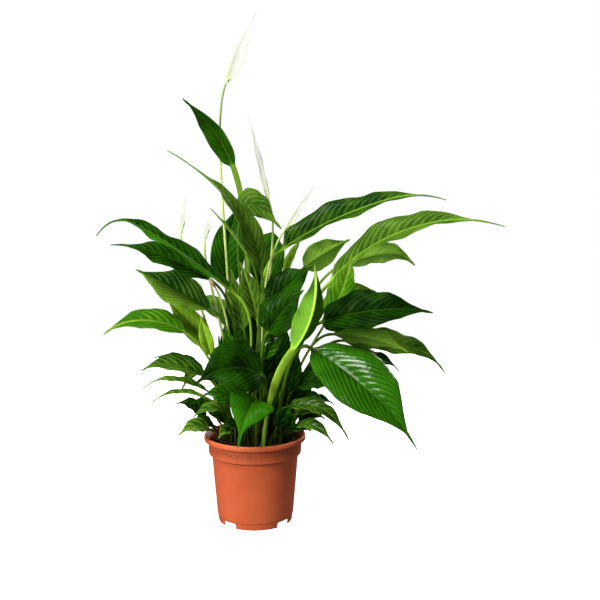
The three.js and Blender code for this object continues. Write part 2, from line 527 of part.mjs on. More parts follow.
// One ring of a leaf: round on the petiole, flattening into a folded, arched and waved blade.
function bladeRing(point, up, side, shares, { t, flat, round, sheath, width, leaf }) {
  const fold = radians(leaf.fold) * (1 - FLATTENING * t);
  const thick = BLADE_THICKNESS / Math.cos(fold);
  const last = shares.length - 1;
  const place = (share, j, lower) => {
    const angle = Math.PI * (0.9 - 0.8 * (j / last)) * (lower ? -1 : 1);
    const rib = share === 0 ? RIB_DEPTH * (1 - 0.8 * t) : 0;
    const away = Math.abs(share);
    const ripple = Math.sin(2 * Math.PI * EDGE_WAVES * t + (share > 0 ? EDGE_WAVE_SHIFT : 0)) * away ** 2;
    const waves = leaf.wave * ripple * Math.min(1, outline(t, leaf) * 1.4);
    const arch = width * ARCH * (1 - (2 * away - 1) ** 2);
    const under = lower ? thick + rib * 0.7 : rib * -0.3;
    const rise = away * width * Math.sin(fold) + arch + waves - under;
    const x = mix(sheath * Math.cos(angle), share * width * Math.cos(fold), flat);
    const z = mix(round * Math.sin(angle), rise, flat);
    return point.clone().addScaledVector(side, x).addScaledVector(up, z);
  };
  const upper = shares.map((share, j) => place(share, j, false));
  const lower = shares.map((share, j) => place(share, j, true)).reverse();
  return [...upper, ...lower];
}

function shootGeometry(shoot) {
  const bodies = shoot.leaves.map((leaf) => solid(leafGeometry(shoot.root, leaf)));
  return geometryOf(bodies.reduce((whole, body) => whole.add(body)));
}

// ---- blooms ----

// A ring of points round a line, square to it.
const ringOf = (point, { up, side }, radius, sides) => Array.from({ length: sides }, (_, j) => {
  const angle = Math.PI - (j + 0.5) * (2 * Math.PI / sides);
  const sideways = side.clone().multiplyScalar(radius * Math.cos(angle));
  return sideways.addScaledVector(up, radius * Math.sin(angle)).add(point);
});

function stalkGeometry(bloom) {
  const foot = vector(bloom.foot);
  const direction = vector(bloom.tip).sub(foot).normalize();
  const points = [...stemLine(bloom.root, foot, direction, 7, bloom.bend ?? STALK_BEND), foot];
  const line = frames(points, new THREE.Vector3(0, -1, 0), 0);
  const radius = (i) => mix(STALK_RADIUS, STALK_TOP_RADIUS, i / points.length);
  return skin(points.map((point, i) => ringOf(point, line[i], radius(i), 6)));
}

// The hood: a cupped, pointed blade that rises behind the spike, just clear of the stalk's end.
function spatheGeometry(bloom) {
  const foot = vector(bloom.foot);
  const tip = vector(bloom.tip);
  const along = tip.clone().sub(foot).normalize();
  const face = vector(bloom.face);
  const back = face.clone().addScaledVector(along, -face.dot(along)).normalize().negate();
  const base = foot.clone().addScaledVector(along, 2 * GAP);
  const middle = base.clone().add(tip).multiplyScalar(0.5).addScaledVector(back, bloom.width * HOOD_CUP);
  const curve = quadratic(base, middle, tip);
  const steps = 10;
  const points = Array.from({ length: steps + 1 }, (_, i) => curve.getPoint(i / steps));
  const line = frames(points, face, steps / 2);
  const shares = [-1, -0.5, 0, 0.5, 1];
  const leaf = { fold: HOOD_FOLD, wave: HOOD_WAVE };
  const round = HOOD_FOOT_RADIUS;
  return skin(points.map((point, i) => {
    const t = i / steps;
    const width = Math.max(outline(t, leaf) * bloom.width / 2, mix(round, TIP_HALF_WIDTH, t));
    const flat = smooth(t / HOOD_FLAT_BY);
    return bladeRing(point, line[i].up, line[i].side, shares, { t, flat, round, sheath: round, width, leaf });
  }));
}

// The spike: a slim knobbly column that stands on its short stipe in front of the hood.
function spadixGeometry(bloom) {
  const foot = vector(bloom.foot);
  const along = vector(bloom.tip).sub(foot).normalize();
  const face = vector(bloom.face);
  const front = face.clone().addScaledVector(along, -face.dot(along)).normalize();
  const radius = Math.min(SPADIX_RADIUS, bloom.width * SPADIX_SHARE);
  const start = foot.clone().addScaledVector(along, STIPE_START).addScaledVector(front, STIPE_FORWARD);
  const rise = STIPE_LENGTH + bloom.spike;
  const end = start.clone().addScaledVector(along, rise).addScaledVector(front, SPADIX_LEAN);
  const rows = 11;
  const sides = 8;
  const curve = new THREE.LineCurve3(start, end);
  const points = Array.from({ length: rows + 1 }, (_, i) => curve.getPoint(i / rows));
  const line = frames(points, front, 0);
  return skin(points.map((point, i) => {
    const t = i / rows;
    const onStipe = t < STIPE_LENGTH / (STIPE_LENGTH + bloom.spike);
    const body = Math.sqrt(Math.max(0.04, 1 - ((t - 0.55) / 0.47) ** 2));
    const size = onStipe ? STIPE_RADIUS : Math.max(STIPE_RADIUS, radius * body);
    const knobbly = (p, j) => p.sub(point).multiplyScalar(!onStipe && (i + j) % 2 ? KNOB : 1).add(point);
    return ringOf(point, line[i], size, sides).map(knobbly);
  }));
}

// A spent bud, brown and shrunken, grown on its own thin stalk.
function witheredGeometry() {
  const foot = vector(WITHERED_BLOOM.foot);
  const tip = vector(WITHERED_BLOOM.tip);
  const direction = tip.clone().sub(foot);
  const points = stemLine(WITHERED_BLOOM.root, foot, direction.clone().normalize(), 7, PETIOLE_BEND);
  const sizes = points.map((_, i) => mix(STALK_RADIUS, 1, i / points.length));
  const budSizes = [[0, 1.2], [0.25, 2.6], [0.55, 3], [0.85, 2], [1, 0.8]];
  for (const [t, size] of budSizes) {
    points.push(foot.clone().addScaledVector(direction, t));
    sizes.push(size);
  }
  const line = frames(points, new THREE.Vector3(0, -1, 0), 0);
  return skin(points.map((point, i) => ringOf(point, line[i], sizes[i], 6)));
}

// ---- the whole ----
const root = new THREE.Group();

function place(name, geometry, material) {
  const mesh = new THREE.Mesh(geometry, material);
  mesh.name = name;
  root.add(mesh);
}

place("pot", potGeometry(), POT_PLASTIC);
place("soil", soilGeometry(), SOIL);
for (const leaf of LEAVES) place(leaf.name, leafGeometry(leaf.root, leaf), LEAF[leaf.tone]);
for (const shoot of SHOOTS) place(shoot.name, shootGeometry(shoot), LEAF[shoot.leaves.at(-1).tone]);
for (const bloom of BLOOMS) {
  place(bloom.name + "_stem", stalkGeometry(bloom), STALK_GREEN);
  place(bloom.name + "_spathe", spatheGeometry(bloom), SPATHE_WHITE);
  place(bloom.name + "_spadix", spadixGeometry(bloom), SPADIX_CREAM);
}
place(WITHERED_BLOOM.name, witheredGeometry(), WITHERED);

export default root;
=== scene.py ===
import math
from dataclasses import dataclass

import bpy
import numpy as np
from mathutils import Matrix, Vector


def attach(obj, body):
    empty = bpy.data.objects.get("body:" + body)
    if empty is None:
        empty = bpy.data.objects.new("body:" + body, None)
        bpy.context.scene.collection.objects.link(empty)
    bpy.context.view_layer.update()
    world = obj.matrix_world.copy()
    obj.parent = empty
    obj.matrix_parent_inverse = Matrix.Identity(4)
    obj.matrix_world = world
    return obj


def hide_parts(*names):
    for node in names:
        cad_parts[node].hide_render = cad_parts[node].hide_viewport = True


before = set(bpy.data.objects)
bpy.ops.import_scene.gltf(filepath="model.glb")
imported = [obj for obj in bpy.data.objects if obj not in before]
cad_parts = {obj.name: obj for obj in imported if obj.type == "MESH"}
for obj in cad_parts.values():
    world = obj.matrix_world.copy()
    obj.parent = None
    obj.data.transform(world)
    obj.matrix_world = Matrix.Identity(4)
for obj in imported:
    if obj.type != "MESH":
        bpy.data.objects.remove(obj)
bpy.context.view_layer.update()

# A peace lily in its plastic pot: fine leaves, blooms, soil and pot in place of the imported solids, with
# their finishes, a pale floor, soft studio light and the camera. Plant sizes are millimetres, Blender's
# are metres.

MM = 0.001
BODY = "root"

# ---- pot and soil ----
POT_HEIGHT = 103
RIM_RADIUS = 60
LIP_HEIGHT = 6  # rolled lip round the rim
LIP_INNER_RADIUS = 57
COLLAR_RADIUS = 55  # just under the lip
COLLAR_FOOT_RADIUS = 54.4
COLLAR_HEIGHT = 24  # from the rim's top down to the step
STEP_RISE = 2  # the step's slope
BODY_RADIUS = 50.8  # just under the step
FOOT_RADIUS = 44.2  # at the ground
WALL = 1.3
FLOOR_Z = 7  # underside of the raised floor
FLOOR_THICKNESS = 1.6
POT_SEGMENTS = 224
FEET = 4
FOOT_ANGLE = 66  # each foot's share of the turn, in degrees
FRONT_FOOT_TURN = 5
NOTCH_HEIGHT = 6.5
NOTCH_CORNER = 1.5  # how far down its slanted corners reach
NOTCH_TOP = 0.82  # how wide its top is, as a share of its foot
NOTCH_REACH = (-4, 8)  # how far its cutter reaches inside and outside the foot's radius
PAST = 2  # how far a cutter reaches past what it cuts
FOOT_HEIGHT = 7.6  # top of the feet's slightly set-back band
FOOT_INSET = 0.7
PAD_RADIUS = 14
DRAIN_HOLES = 4
DRAIN_RADIUS = 4
DRAIN_CIRCLE = 30
DRAIN_SIDES = 24
SOIL_TOP = 93
SOIL_LUMP = 1.6
SOIL_RINGS = 48
SOIL_CENTRE = 1.2  # radius of the innermost ring
SOIL_SEGMENTS = 160
SOIL_EDGE = 1.2  # how far the soil's top edge slopes down
SOIL_TURN_IN = 5  # height over which its side follows the pot's step
GROUND_MARGIN = 2.4  # bare of crumbs at the pot's wall
SOIL_WALL_FROM = 78  # above this the soil's side follows the pot's collar
CRUMBS_PER_M2 = 210000
CRUMB_SIZES = (0.7, 2.3)
FIBRES_PER_M2 = 22000
FIBRE_SIZES = (2.0, 4.2)
FIBRE_SLIMNESS = 6.0

# ---- plant ----
STEM_DEPTH = 14  # how far a stem goes down into the soil
STEM_RISE = (0.12, 0.45)  # how far a stem leans out and climbs before it bends, as shares of its reach
PETIOLE_BEND = 0.22  # share of a petiole that bends into its blade
PETIOLE_STEPS = 26
PETIOLE_RADII = (1.1, 2)  # of a narrow and of a wide leaf
LEAF_WIDTHS = (14, 58)  # the widths at which leaves have those
STALK_STEPS = 40
KNEE_SWELLING = 0.25  # of the joint between a petiole and its blade
KNEE_AT = 0.96  # share of the petiole
KNEE_LENGTH = 0.03
BLADE_THICKNESS = 0.6
RIB_DEPTH = 1.1  # how far the midrib stands out below the blade
RIB_FADING = 0.8  # how much of that is lost by the tip
RIB_HALF_WIDTH = 1.5
GROOVE_DEPTH = 0.55  # the midrib's channel in the upper side
GROOVE_FADING = 0.7  # how much of that is lost by the tip
GROOVE_SLIMNESS = 1.4  # how much narrower the groove is than the rib
CHANNEL_DEPTH = 0.3  # of the petiole's upper side, as a share of its radius
CHANNEL_WIDTH = 0.1  # as a share of the way over it
SEAM = 0.03  # share of the half turn that each face of a petiole leaves open at either side
SHEATH_WIDENING = 0.7
SHEATH_LENGTH = 0.4
WING_FROM = 0.2  # where on a winged petiole its wings start
WING_OVER = 0.4  # share of the petiole over which they grow
FACE_AT = 0.45  # where on the blade its face direction holds
RING_SPACING = 1.25  # along a blade
RINGS = (36, 150)  # fewest and most along a blade
COLUMNS = 33  # points across a blade
FEWER_COLUMNS = 25  # across a narrow blade
NARROW = 30  # width up to which a blade is narrow
COLUMN_SPREAD = (0.3, 0.7)  # even and squared share of their places: closer together near the midrib
EDGE_WAVES = 3.2  # waves along a blade's edge
EDGE_WAVE_SHIFT = 1.3  # how far the right edge's waves lag the left's
FRILL = 0.22  # a finer wave in the edge, as a share of the main one
FRILL_WAVES = 7.7
FRILL_SHIFTS = (2.9, 0.6)  # where it starts on the left and the right edge
WAVES_FULL_BY = 1.4  # the waves are full where the blade has 1 / 1.4 of its width
ARCH = 0.12  # how far each half of a blade arches, as a share of its half width
FLATTENING = 0.4  # how much of the fold is lost towards the tip
EDGE_THINNING = 0.45
DROOP_FROM = 0.7  # share of the blade from which its tip narrows and hangs
WIDEST = 0.4  # where a blade is widest, as a share of its length
DRIP = 0.05  # share of a blade that is its thread-like tip
TIP_HALF_WIDTH = 0.5
TIP_TAPER = 1.3  # how much wider than a thread a leaf's tip is where it starts
TAPER_WIDTH = 40  # a narrower leaf tapers less
FULLNESS = 0.8  # 1 gives an ellipse's ends, less gives fuller ones
POINTING = 0.55  # how much narrower the tip is than an ellipse's
BODY_END = 0.9999  # share of the blade's body at which its width runs out and the thread-like tip starts
FLAT_BY = 0.1  # share of the blade over which the petiole flattens into it
VEIN_SPACING = 10.5  # between a blade's side veins
VEIN_DEPTH = 1.15  # how far the blade swells between its side veins
VEIN_WIDTH = 46  # a narrower leaf swells less
VEIN_SWEEP = (0.95, 0.9)  # how far a side vein runs forward on its way to the edge
VEIN_RUN = (0.3, 0.7)  # how much of that goes by the blade's widest half width and by its own there
VEIN_PATCHES = (2.3, 0.8)  # waves of stronger and weaker swelling, along the blade and across it
SPADIX_RADIUS = 3.4
SPADIX_START = 2.5  # how far above the hood's foot its stipe starts
SPADIX_FORWARD = 1.9  # how far in front of it
SPADIX_FORWARD_SHARE = 0.12  # the most of a narrow hood's width that this may be
SPADIX_LEAN = 1.5  # how much further forward its tip stands, as a multiple of that
STIPE_RADIUS = 0.9
STIPE_SHARE = 0.12  # share of the whole line that is as thin as that
COLUMN_SHARE = 0.9  # of the spike's radius that is under the florets
SPADIX_SHARE = 0.12  # the spike's radius in a narrow hood, as a share of its width
STALK_RADIUS = 1.8
STALK_BEND = 0.12  # share of a bloom's stalk that bends towards the hood
STIPE = 6  # bare length below the spike
GOLDEN_ANGLE = 137.508  # between one floret and the next
FLORET_SIZES = (0.75, 0.95)  # on a slim spike and on a stout one
STOUT = 2.4  # radius above which a spike is stout
FLORET_AREA = 2.9  # area of the spike for each, as a multiple of its size squared
FLORET_HEIGHT = 0.75  # how far it stands out, as a share of its size
HOOD_FOLD = 30
HOOD_RINGS = 61
HOOD_CUP = 0.22  # how far a hood's middle stands back, as a share of its width
WRINKLE = 0.14  # of the withered bud
WRINKLE_TURN = 2.9  # from one of its points to the next round it
BUD_SIDES = 16
GAP = 0.3
USUAL_LIGHT = 0.35  # how light a leaf's upper side is for its tone
UNEVENNESS = 0.3  # how far leaves differ in it
LIGHT_STEP = 0.618034  # from one leaf to the next, as a share of that, so that no two in a row match
LIGHT_START = 0.31
# painted shade: the small inner leaves, low in the crown, are painted darker
INNER_SHADE = 0.3  # how much darker the small inner leaves are
INNER_WAVE = 0.8
USUAL_SHINE = 0.08

# ---- studio, in metres and watts ----
LIGHTS = [  # name, place, size, power
    ("key softbox", (-1.05, -1.15, 0.75), (0.5, 0.8), 28),
    ("overhead softbox", (-0.4, -0.6, 1.6), (1.15, 0.6), 28),
    ("fill", (1.3, -0.7, 0.4), (0.7, 1.0), 3.2),
    ("rear softbox", (0.75, 1.35, 0.7), (0.9, 0.9), 13),
]
LIGHT_AIM = (0.03, 0, 0.28)
LIGHT_COLOUR = (1, 0.975, 0.92)
SURROUNDINGS = 0.12  # how strongly the white all round lights the plant
FLOOR_REACH = (1.5, 1.2)

# ---- camera ----
CAMERA_PLACE = (53, -1000, 380)
CAMERA_PITCH = 6.8  # degrees downwards
CAMERA_LENS = 52.2


@dataclass
class Leaf:
    """One leaf. root: where its petiole leaves the soil. base, middle, tip: three points of its midrib.
    face: the way its upper side looks. fold: how far each half is lifted, in degrees. wave: height of the
    waves in its edge. twist: turn from base to tip. droop: how far the tip hangs. drip: share of the blade
    that is a thread-like tip. widest: where the blade is widest. wing: reach of a flat petiole's wings.
    light: how light its upper side is for its tone, and much as its neighbours' where it isn't given.
    shine: of its upper side. pale_stem: how pale its petiole is. back_light: how light its underside is.
    veining: how strongly its side veins show, in relief and in the painted light and shade along them.
    painted_half_light: painted light and shade on its halves, how much lighter its right half is."""
    tone: str
    root: tuple
    base: tuple
    middle: tuple
    tip: tuple
    width: float
    face: tuple
    fold: float
    wave: float
    twist: float = 0
    droop: float = 0
    drip: float = DRIP
    widest: float = WIDEST
    wing: float = 0
    light: float = None
    shine: float = USUAL_SHINE
    pale_stem: float = 0.1
    back_light: float = 0.3
    veining: float = 0.8
    painted_half_light: float = 0


@dataclass
class Bloom:
    """A flower: its stalk's root, the hood's foot and tip, its width, the way its inside looks, the spike's
    length, and the share of the stalk that bends."""
    name: str
    root: tuple
    foot: tuple
    tip: tuple
    width: float = 0
    face: tuple = (0, -1, 0)
    spike: float = 0
    bend: float = STALK_BEND


# ---- the plant, leaf by leaf ----
LEAVES = {
    "leaf_01": Leaf("dark", (-9, 10), (-23, 8, 412), (-44, 0, 453), (-77, -18, 487), 28,
        (-0.55, -0.8, 0.1), 24, 0.5, widest=0.38, wing=2.4, light=0.05, shine=0.3, pale_stem=0.35,
        veining=0.3),
    "leaf_02": Leaf("mid", (7, -9), (10, -15, 290), (-22, -29, 370), (-92, -36, 430), 31,
        (0.66, -0.5, 0.5), 18, 1.5, twist=105, drip=0.08, widest=0.33, light=0, shine=0.2, veining=0.5),
    "leaf_03": Leaf("mid", (0, 1), (-15, 1, 358), (0, -4, 370), (32, -9, 343), 38,
        (0, -0.85, 0.5), 14, 2.5, light=-0.05, veining=0.5),
    "leaf_04": Leaf("mid", (-4, -17), (-4, -36, 313), (-23, -41, 341), (-44, -47, 367), 14,
        (0.7, -0.1, 0.7), 20, 0.5, light=0.6),
    "leaf_05": Leaf("dark", (-15, 18), (-35, 34, 269), (-33, 40, 322), (-21, 46, 370), 42,
        (0.2, -0.9, 0.2), 18, 1.5, light=0.5),
    "leaf_06": Leaf("dark", (-10, -13), (-17, -24, 267), (-102, -34, 333), (-170, -47, 367), 37,
        (0, -0.3, 0.95), 18, 2.5, twist=-10, droop=30, drip=0.12, widest=0.35, light=0.8, pale_stem=0.6,
        veining=0.9, painted_half_light=0.6),
    "leaf_07": Leaf("dark", (-17, -9), (-48, -10, 284), (-103, -12, 313), (-163, -8, 329), 34,
        (0, -0.65, 0.75), 16, 2.5, droop=4, drip=0.12, widest=0.42, light=0.1),
    "leaf_08": Leaf("mid", (-20, 3), (-49, 2, 248), (-89, 8, 268), (-139, 14, 297), 48,
        (-0.1, -0.7, 0.7), 30, 2, droop=2, widest=0.54, light=0.5, veining=0.9, painted_half_light=0.9),
    "leaf_09": Leaf("young", (-26, -3), (-78, -6, 222), (-124, -10, 238), (-172, -16, 227), 34,
        (0, -0.62, 0.78), 20, 1, droop=4, light=-0.7, pale_stem=0.45),
    "leaf_10": Leaf("mid", (14, 9), (29, 5, 316), (119, 16, 363), (224, 25, 391), 46,
        (-0.15, -0.56, 0.83), 34, 2.5, droop=15, drip=0.11, widest=0.36, light=-0.6, shine=0.12,
        pale_stem=0.8, veining=0.5),
    "leaf_11": Leaf("mid", (23, -2), (84, -2, 278), (172, -4, 340), (285, -12, 354), 44,
        (-0.1, -0.55, 0.83), 34, 2.5, droop=8, drip=0.12, widest=0.5, light=0.15, shine=0.08, pale_stem=0.8,
        veining=0.6),
    # leaf_12 and leaf_13: back_light raised above the usual, painted light on undersides that leaves above
    # them shade
    "leaf_12": Leaf("mid", (18, 18), (57, 42, 294), (83, 50, 312), (114, 60, 328), 36,
        (0.2, 0.8, 0.4), 10, 1, pale_stem=0.4, back_light=1.2),
    "leaf_13": Leaf("mid", (26, 10), (101, 40, 297), (152, 48, 311), (193, 56, 302), 36,
        (0.1, 0.75, 0.6), 12, 1.5, droop=6, pale_stem=0.9, back_light=1.3),
    "leaf_14": Leaf("young", (28, -9), (85, -19, 242), (103, -18, 280), (111, -26, 314), 32,
        (-0.4, -0.85, 0.2), 18, 1.5, light=-0.7, pale_stem=0.5, veining=0.45),
    "leaf_15": Leaf("young", (32, 4), (79, 14, 246), (109, 16, 267), (144, 18, 272), 26,
        (0, -0.75, 0.65), 18, 1, droop=5, light=0.3),
    "leaf_16": Leaf("dark", (25, -18), (75, -28, 238), (132, -52, 255), (199, -54, 256), 52,
        (0, -0.75, 0.65), 16, 2.5, droop=3, light=-0.75, shine=0.02, veining=0.35),
    "leaf_17": Leaf("mid", (34, 13), (100, 18, 210), (168, 18, 206), (225, 12, 186), 38,
        (0.2, -0.6, 0.75), 14, 2, droop=14, light=-0.4, veining=0.35),
    "leaf_18": Leaf("young", (33, -4), (90, -8, 222), (136, -14, 218), (177, -22, 205), 36,
        (0.1, 0.7, 0.6), 12, 1.5, droop=2, back_light=0.9),
    "leaf_19": Leaf("dark", (24, -28), (63, -38, 212), (121, -80, 177), (176, -110, 124), 75,
        (0.2, -0.75, 0.65), 12, 1.3, droop=8, drip=0.08, widest=0.48, light=1.1, shine=1.2, veining=1,
        painted_half_light=0.2),
    "leaf_20": Leaf("dark", (28, 21), (108, 24, 178), (142, 28, 186), (173, 32, 176), 30,
        (0, -0.5, 0.85), 14, 1.5, droop=6, light=0.3),
    "leaf_21": Leaf("young", (11, -33), (45, -59, 211), (67, -72, 256), (69, -64, 307), 40,
        (-0.25, 0.95, 0.1), 50, 1, widest=0.36, wing=3.4, pale_stem=1, back_light=0.4, painted_half_light=-0.85),
    "leaf_22": Leaf("dark", (16, -14), (18, -24, 259), (41, -19, 281), (67, -14, 301), 46,
        (-0.3, -0.7, 0.6), 14, 1.5, light=-0.5, veining=0.4),
    "leaf_23": Leaf("dark", (15, -26), (16, -38, 227), (33, -41, 252), (57, -42, 277), 50,
        (-0.3, -0.8, 0.5), 14, 1.5, light=-0.6, veining=0.3),
    "leaf_24": Leaf("mid", (-1, -5), (4, -9, 238), (-4, -7, 270), (-16, -2, 305), 28,
        (0.4, -0.9, 0.1), 22, 1, pale_stem=0.7),
    "leaf_25": Leaf("mid", (-9, -5), (-12, -2, 225), (-19, 1, 259), (-27, 6, 296), 26,
        (-0.3, -0.9, 0.1), 22, 1),
    "leaf_26": Leaf("young", (9, 15), (37, 18, 286), (45, 22, 309), (55, 27, 333), 18,
        (-0.7, -0.6, 0.2), 40, 0.5, light=1.1, pale_stem=0.9),
    "leaf_27": Leaf("dark", (-2, -25), (11, -46, 181), (-21, -66, 194), (-62, -86, 182), 68,
        (-0.1, -0.8, 0.6), 10, 1.5, droop=4, drip=0.08, light=-0.7, veining=0.25),
    "leaf_28": Leaf("dark", (3, -37), (4, -52, 155), (-4, -72, 147), (-14, -90, 117), 52,
        (0, -0.9, 0.42), 6, 1.5, droop=6, drip=0.08, widest=0.26, light=1.9, veining=0.55),
    "leaf_29": Leaf("dark", (34, -14), (48, -16, 160), (76, -18, 170), (100, -22, 158), 30,
        (0, -0.6, 0.8), 14, 1.5, droop=2, shine=0.8),
    "leaf_30": Leaf("mid", (31, -34), (39, -36, 142), (74, -50, 146), (107, -66, 118), 22,
        (0.2, -0.6, 0.75), 14, 1.5, droop=5, light=-0.4, shine=0.3, veining=0.5),
    "leaf_31": Leaf("dark", (3, 21), (12, 46, 262), (4, 98, 318), (-14, 148, 322), 54,
        (0, -0.3, 0.95), 20, 2.5, droop=10),
    "leaf_32": Leaf("mid", (-11, 25), (-32, 56, 214), (-66, 100, 246), (-104, 138, 232), 50,
        (0, 0.1, 1), 18, 2.5, droop=8),
    "leaf_33": Leaf("mid", (15, 26), (46, 62, 206), (84, 108, 232), (122, 146, 214), 52,
        (0, 0.1, 1), 18, 2.5, droop=8),
    "leaf_34": Leaf("dark", (2, 30), (2, 70, 168), (6, 118, 178), (12, 158, 142), 52,
        (0, 0.3, 0.95), 16, 2.5, droop=6),
}

# Each young offset plant's leaves, which spring from one short crown.
SHOOTS = [
    [Leaf("young", (-27, 7), (-54, 12, 200), (-80, 20, 234), (-107, 28, 259), 32,
          (0.3, -0.8, 0.5), 16, 0.6, light=0.4, veining=0.4),
     Leaf("dark", (-27, 7), (-60, 12, 174), (-92, 20, 188), (-123, 28, 190), 20,
          (0, -0.3, 0.95), 20, 0.8, droop=3, shine=0.5),
     Leaf("young", (-27, 7), (-55, 4, 152), (-94, 8, 165), (-135, 10, 160), 16,
          (0, -0.2, 1), 20, 0.8, droop=8, light=0)],
    [Leaf("young", (-27, -11), (-49, -22, 199), (-55, -24, 223), (-60, -24, 245), 17,
          (0.2, -0.9, 0.3), 30, 0.5, light=0.9, veining=0.4),
     Leaf("mid", (-27, -11), (-56, -12, 173), (-94, -18, 188), (-128, -26, 186), 28,
          (0, -0.5, 0.85), 20, 0.8, droop=4, light=-0.3),
     Leaf("mid", (-27, -11), (-52, -20, 148), (-84, -26, 158), (-116, -34, 150), 13,
          (0, -0.2, 0.95), 20, 0.6, droop=3)],
    [Leaf("mid", (-26, -24), (-30, -28, 136), (-48, -36, 142), (-68, -42, 134), 20,
          (0, -0.4, 0.9), 16, 0.6, droop=2, shine=1),
     Leaf("mid", (-26, -24), (-50, -32, 116), (-66, -38, 122), (-84, -44, 114), 20,
          (-0.1, -0.7, 0.7), 14, 0.6, droop=2, shine=0.5),
     Leaf("mid", (-26, -24), (-24, -36, 112), (-31, -46, 118), (-38, -54, 112), 14,
          (0, -0.6, 0.8), 14, 0.5, droop=1)],
    [Leaf("dark", (-14, -20), (-14, -30, 144), (-34, -38, 158), (-56, -44, 160), 26,
          (0, -0.75, 0.65), 14, 0.6, droop=2, shine=1),
     Leaf("dark", (-14, -20), (-20, -22, 192), (-27, -22, 212), (-32, -18, 234), 18,
          (0, -0.9, 0.3), 20, 0.5, shine=1)],
    [Leaf("mid", (38, -24), (48, -40, 120), (68, -52, 126), (90, -64, 110), 18,
          (0, -0.5, 0.85), 16, 0.6, droop=2, light=-0.3, shine=0.5, veining=0.5),
     Leaf("mid", (38, -24), (46, -24, 128), (60, -28, 138), (76, -34, 134), 20,
          (0, -0.5, 0.85), 16, 0.6, droop=2, light=-0.3, shine=0.6, veining=0.5)],
    [Leaf("dark", (42, 1), (46, -2, 134), (64, -4, 146), (84, -6, 140), 24,
          (0, -0.5, 0.85), 16, 0.6, droop=2),
     Leaf("dark", (42, 1), (54, 4, 162), (78, 6, 172), (100, 6, 164), 28,
          (0, -0.6, 0.8), 16, 0.6, droop=2)],
    [Leaf("mid", (-29, 22), (-48, 42, 150), (-74, 66, 160), (-98, 88, 138), 32,
          (-0.1, 0.3, 0.95), 16, 0.8, droop=4),
     Leaf("mid", (-29, 22), (-36, 40, 122), (-46, 62, 130), (-56, 82, 116), 24,
          (0, 0.4, 0.9), 16, 0.6, droop=2)],
    [Leaf("mid", (24, 32), (52, 56, 152), (78, 78, 160), (100, 98, 138), 32,
          (0.1, 0.3, 0.95), 16, 0.8, droop=4),
     Leaf("mid", (24, 32), (34, 56, 122), (42, 78, 130), (48, 98, 116), 26,
          (0, 0.4, 0.9), 16, 0.6, droop=2)],
]

BLOOMS = [
    Bloom("bloom_1", root=(-24, 12), foot=(-31, 10, 507), tip=(4, 4, 583),
          width=24, face=(0.7, 0.75, 0), spike=36),
    Bloom("bloom_2", root=(3, 11), foot=(20, 12, 364), tip=(-6, 8, 470),
          width=10, face=(-0.75, 0.65, 0), spike=30),
    Bloom("bloom_3", root=(8, -1), foot=(35, -4, 341), tip=(69, -11, 391),
          width=10, face=(0.6, 0.8, -0.3), spike=16, bend=0.25),
    Bloom("bloom_4", root=(-31, 15), foot=(-90, 46, 334), tip=(-84, 46, 377),
          width=8, face=(0.75, 0.65, 0), spike=9),
    Bloom("bloom_5", root=(-22, 17), foot=(-59, 26, 328), tip=(-51, 28, 369),
          width=8, face=(0.75, 0.65, 0), spike=9),
]
WITHERED_BLOOM = Bloom("withered_bloom", root=(-21.5, -14), foot=(-44, -20, 279), tip=(-49, -22, 288))

